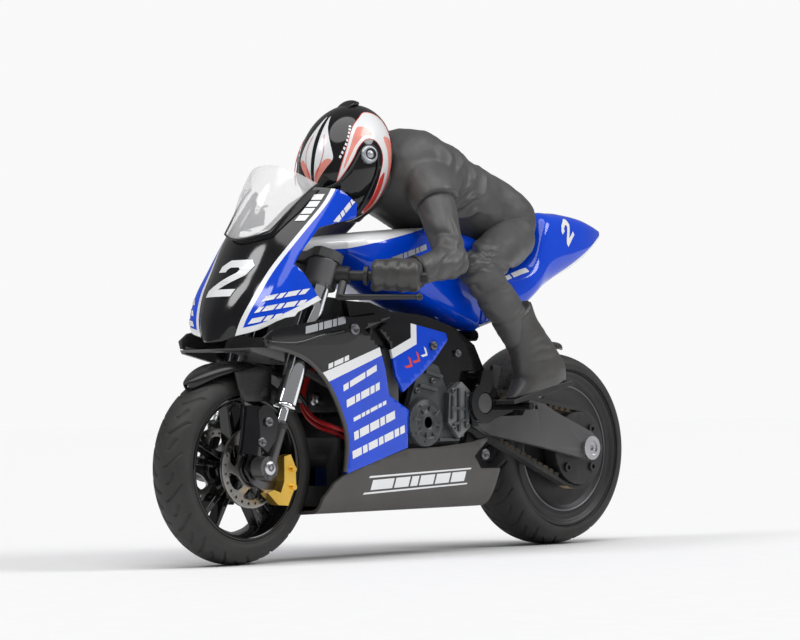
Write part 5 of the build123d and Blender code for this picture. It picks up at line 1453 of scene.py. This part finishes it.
# Ribs as (foot, head, width, how far the rib stands off the face).
ENGINE_RIBS = [((-4.4, 43.0), (-5.0, 50.6), 1.1, 2.3), ((-7.6, 39.0), (-7.8, 53.0), 1.1, 2.3),
               ((-11.0, 41.0), (-11.4, 52.0), 1.1, 2.3), ((-4.0, 46.6), (-12.4, 46.2), 1.0, 2.3),
               ((-5.0, 41.2), (-12.0, 43.2), 0.9, 2.3), ((0.6, 52.4), (8.6, 54.0), 1.3, 0.5),
               ((-2.0, 56.6), (5.6, 58.2), 1.2, 0.5), ((0.0, 36.6), (-9.4, 36.4), 1.0, 0.5)]
ENGINE_BOLTS = [((-5.2, 52.2), 2.2), ((-12.2, 50.0), 2.2), ((-11.4, 41.0), 2.2), ((-5.0, 40.0), 2.2),
                ((2.2, 55.4), 0.0), ((9.6, 52.4), 0.0), ((0.6, 39.0), 0.0)]


def engine_details():
    """Raised rings, bolts and ribs on the dummy engine covers."""
    face = [(0.01, 3.0), (1.8, 3.0), (2.2, 3.5), (3.2, 3.5), (3.6, 2.9), (4.8, 2.7), (5.2, 3.2),
            (6.0, 3.2), (6.4, 2.6), (7.0, 2.5), (7.6, 1.9), (7.7, 0.2)]
    for side, label in SIDES:
        hub = Vector((CLUTCH[0], side * ENGINE_FACE, CLUTCH[1]))
        from_bmesh(f"clutch_cover_{label}", turned(hub, Y * side, face, 64), [DUMMY], "chassis")
        bm = bmesh.new()
        for turn in angles(8):
            out = about_y(turn + 0.2)
            base = hub + Y * side * 2.9
            bar_between(bm, base + out * 3.4, base + out * 6.6, 0.9, 0.7, 1.0, 0.8)
        for foot, head, wide, lift in ENGINE_RIBS:
            start, end = (across_at(side * (ENGINE_FACE + lift))(*spot) for spot in (foot, head))
            bar_between(bm, start, end, wide, wide * 0.8, 1.5, 1.3)
        even_normals(bm)
        soften(from_bmesh(f"engine_ribs_{label}", bm, [DUMMY], "chassis", smooth=False), 0.25, 30)
        for number, (spot, lift) in enumerate(ENGINE_BOLTS):
            socket_screw(f"engine_bolt_{number}_{label}", spot, ENGINE_FACE + lift,
                         side, 1.0, "chassis", DUMMY, 0.9)


def coil(name, foot, head, radius, wire, turns, material, body, replaced):
    """A helical spring between two points, 18 path points a turn."""
    along = (head - foot).normalized()
    side = along.orthogonal().normalized()
    other = along.cross(side)
    steps = turns * 18
    path = [foot.lerp(head, k / steps) + (side * math.cos(a) + other * math.sin(a)) * radius
            for k, a in enumerate(angles(18, steps + 1))]
    rings = swept(path, [(wire, wire)] * len(path), 10, along)
    return from_bmesh(name, grid_mesh(rings, closed_across=True, caps=True), [material], body, replaced)


def shock_spring():
    top, foot = Vector((-21.0, 0, 70.0)), Vector((-30.0, 0, 45.5))
    down = (foot - top).normalized()
    length = (foot - top).length
    obj = coil("shock_coil", top + down * 4.5, top + down * (length - 5.4), 3.25, 0.45, 7, WIRE_RED,
               "shock_body", ["shock_spring"])
    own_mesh(obj)


def fork_details():
    """The rolled foot of the chrome tubes and the dust seals below them."""
    parts = [("fork_tube_lip", 19.7, (0, 0.3, 1.4), [3.3, 3.48, 3.48], CHROME, "steering", 48),
             ("fork_seal", 13.2, (0, 0.6, 1.9, 2.4), [2.5, 2.75, 2.75, 2.2], MOULDED, "fork_lower", 40)]
    for side, label in SIDES:
        for name, height, rises, radii, material, body, turns in parts:
            path = [fork_point(4, 14 * side, height + rise) for rise in rises]
            tube(f"{name}_{label}", path, radii, material, body, turns=turns)


LEAD_RADIUS = 0.75
# Route of each battery lead, from the speed controller down across the front opening.
LEADS = [
    [(22.3, -4.0, 66.0), (28.0, -5.5, 63.5), (34.0, -7.0, 58.5), (38.0, -7.0, 51.5), (39.6, -4.0, 45.6),
     (40.0, 2.0, 41.6), (39.0, 8.0, 39.8), (35.0, 10.4, 37.4), (29.5, 10.1, 34.6), (25.0, 8.0, 33.4),
     (22.5, 6.0, 31.5)],
    [(22.3, -1.5, 66.0), (28.5, -2.4, 64.6), (35.6, -4.0, 59.8), (39.9, -4.2, 52.2), (41.4, -1.5, 46.9),
     (41.8, 4.0, 43.4), (40.8, 9.6, 41.5), (37.0, 12.4, 39.8), (31.0, 12.2, 38.0), (26.0, 10.4, 36.8),
     (22.0, 8.0, 35.0), (19.5, 6.0, 31.5)],
]


def battery_leads():
    for number, route in enumerate(LEADS):
        curve = bpy.data.curves.new(f"battery_lead_{number}", "CURVE")
        curve.dimensions = "3D"
        curve.bevel_depth = LEAD_RADIUS * MM
        curve.bevel_resolution = 4
        spline = curve.splines.new("NURBS")
        spline.points.add(len(route) - 1)
        for point, place in zip(spline.points, route):
            point.co = (*(Vector(place) * MM), 1)
        spline.order_u = 3
        spline.use_endpoint_u = True
        spline.resolution_u = 8
        obj = bpy.data.objects.new(f"battery_lead_{number}", curve)
        bpy.context.scene.collection.objects.link(obj)
        curve.materials.append(WIRE_RED)
        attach(obj, "chassis")
        if number == 0:
            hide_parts("battery_leads")


# ------------------------------------------------------------------ finishes on the CAD nodes that stay
CAD_FINISH = {
    "frame_spars": (GLOSS_BLACK, 0.35), "steering_head": (NYLON, 0.3), "chassis_tray": (NYLON, 0.3),
    "battery_pack": (WRAP, 0), "speed_controller": (MOULDED, 0.25), "receiver": (MOULDED, 0),
    "steering_servo": (MOULDED, 0.3), "drive_motor": (DARK_STEEL, 0.3), "motor_mount": (ALLOY, 0.2),
    "swingarm_pivot": (MOULDED, 0.3), "engine_covers": (DUMMY, 0.4), "air_duct": (MOULDED, 0.3),
    "footpegs": (GLOSS_BLACK, 0.4), "fork_tubes": (CHROME, 0), "fork_springs": (STEEL, 0),
    "triple_clamp_lower": (NYLON, 0.4), "triple_clamp_upper": (NYLON, 0.4), "clip_ons": (NYLON, 0.3),
    "brake_levers": (NYLON, 0.2), "fork_legs": (MOULDED, 0.3), "fork_guards": (GLOSS_BLACK, 0.3),
    "front_axle": (STEEL, 0.25), "brake_calipers": (GOLD, 0.45), "front_bearings": (STEEL, 0),
    "swingarm": (NYLON, 0.5), "drive_belt": (BELT, 0), "rear_axle": (STEEL, 0.25),
    "flywheel_ring": (STEEL, 0), "rear_pulley": (NYLON, 0.3), "rear_bearings": (STEEL, 0),
    "front_pulley": (ALLOY, 0), "motor_pinion": (BRASS, 0), "servo_horn": (MOULDED, 0.2),
    "steering_link": (MOULDED, 0.2), "shock_body": (GOLD, 0.2), "shock_rod": (STEEL, 0),
}


TOOTH_FACE = 12.0                             # square mm; the belt's smooth back has larger faces


def paint_faces(node, material, chosen):
    """Gives the faces of a CAD node whose middle, in mm, is chosen another material."""
    obj = nodes[node]
    obj.data.materials.append(material)
    for face in obj.data.polygons:
        if chosen(obj.matrix_world @ face.center / MM):
            face.material_index = len(obj.data.materials) - 1


def finish_cad_nodes():
    for name, (material, edge) in CAD_FINISH.items():
        obj = nodes[name]
        obj.data.materials.clear()
        obj.data.materials.append(material)
        for face in obj.data.polygons:
            face.material_index = 0
        if edge:
            soften(obj, edge, 32)
    paint_faces("fork_legs", CHROME, lambda middle: (middle - STEER_BASE).dot(FORK_UP) > 12.6)
    paint_faces("brake_calipers", DARK_STEEL, lambda middle: abs(middle.y) < 10.42)
    belt = nodes["drive_belt"]
    # painted highlight: the teeth faces on the free runs take tan
    belt.data.materials.append(BELT_TOOTH_HIGHLIGHT)
    for face in belt.data.polygons:
        middle = belt.matrix_world @ face.center / MM
        free_run = min((middle - REAR_AXLE).length, (middle - FRONT_PULLEY).length - 6) > 13
        if free_run and abs(face.normal.y) < 0.5 and face.area < TOOTH_FACE * MM * MM:
            face.material_index = 1


# ------------------------------------------------------------------ floor, light and camera
def softbox(name, azimuth, elevation, spread, power):
    """A broad lamp far away, so that it lights the whole floor evenly; angles in degrees."""
    light = bpy.data.lights.new(name, "SUN")
    light.energy = power
    light.angle = math.radians(spread)
    lamp = bpy.data.objects.new(name, light)
    bpy.context.scene.collection.objects.link(lamp)
    towards = direction(math.radians(azimuth), math.radians(elevation))
    lamp.rotation_euler = towards.to_track_quat("Z", "Y").to_euler()


def studio():
    size = 6.0
    floor = bpy.data.meshes.new("studio_floor")
    floor.from_pydata([(-size, -size, 0), (size, -size, 0), (size, size, 0), (-size, size, 0)],
                      [], [(0, 1, 2, 3)])
    obj = bpy.data.objects.new("studio_floor", floor)
    bpy.context.scene.collection.objects.link(obj)
    floor.materials.append(make_material("floor_white", (0.93, 0.93, 0.93),
                                         0.7, mottle=0.01, grain=4.0, bump=0.0))
    world = bpy.data.worlds.new("studio")
    bpy.context.scene.world = world
    world.use_nodes = True
    tree = world.node_tree
    backdrop = tree.nodes["Background"]
    backdrop.inputs["Color"].default_value = (0.95, 0.95, 0.95, 1)
    room = add_node(tree, "Background", {"Color": (0.98, 0.98, 1.0, 1), "Strength": 0.24}, {})
    seen = tree.nodes.new("ShaderNodeLightPath").outputs["Is Camera Ray"]
    shown = add_node(tree, "MixShader", {}, {0: seen, 1: room, 2: backdrop.outputs[0]})
    tree.links.new(shown, tree.nodes["World Output"].inputs["Surface"])
    softbox("overhead", 60, 74, 50, 1.62)
    softbox("side_window", 130, 38, 24, 1.05)
    softbox("front_window", -15, 47, 18, 0.72)


def camera():
    place = Vector((701.98, 666.73, 47.31)) * MM
    right = Vector((-0.68945, 0.72413, -0.01710))
    up = Vector((-0.00229, 0.02143, 0.99977))
    back = Vector((0.72433, 0.68933, -0.01312))
    ahead = (-back + right * 0.00135 + up * 0.01584).normalized()
    side = (right - ahead * right.dot(ahead)).normalized()
    top = side.cross(ahead)
    lens = bpy.data.cameras.new("camera")
    lens.sensor_width = 36
    lens.lens = 134.8
    lens.clip_start, lens.clip_end = 0.01, 20
    obj = bpy.data.objects.new("camera", lens)
    bpy.context.scene.collection.objects.link(obj)
    obj.matrix_world = Matrix((
        (side.x, top.x, -ahead.x, place.x),
        (side.y, top.y, -ahead.y, place.y),
        (side.z, top.z, -ahead.z, place.z),
        (0, 0, 0, 1)))
    bpy.context.scene.camera = obj
    bpy.context.scene.view_settings.view_transform = "Standard"


def build():
    for make in (finish_cad_nodes, inner_shroud, axle_caps, side_fairing, fairing_scoop, mid_panel,
                 belly_pan, nose_cowl, windscreen, tank, seat, tail, front_wheel, brake_discs, rear_wheel,
                 mudguards, rider_body, rider_legs, rider_arms, rider_gloves, helmet_shell, helmet_design,
                 visor, helmet_fittings, nose_marks, side_marks, tank_and_tail_marks, screws,
                 engine_details, shock_spring, fork_details, battery_leads, studio, camera):
        make()


build()
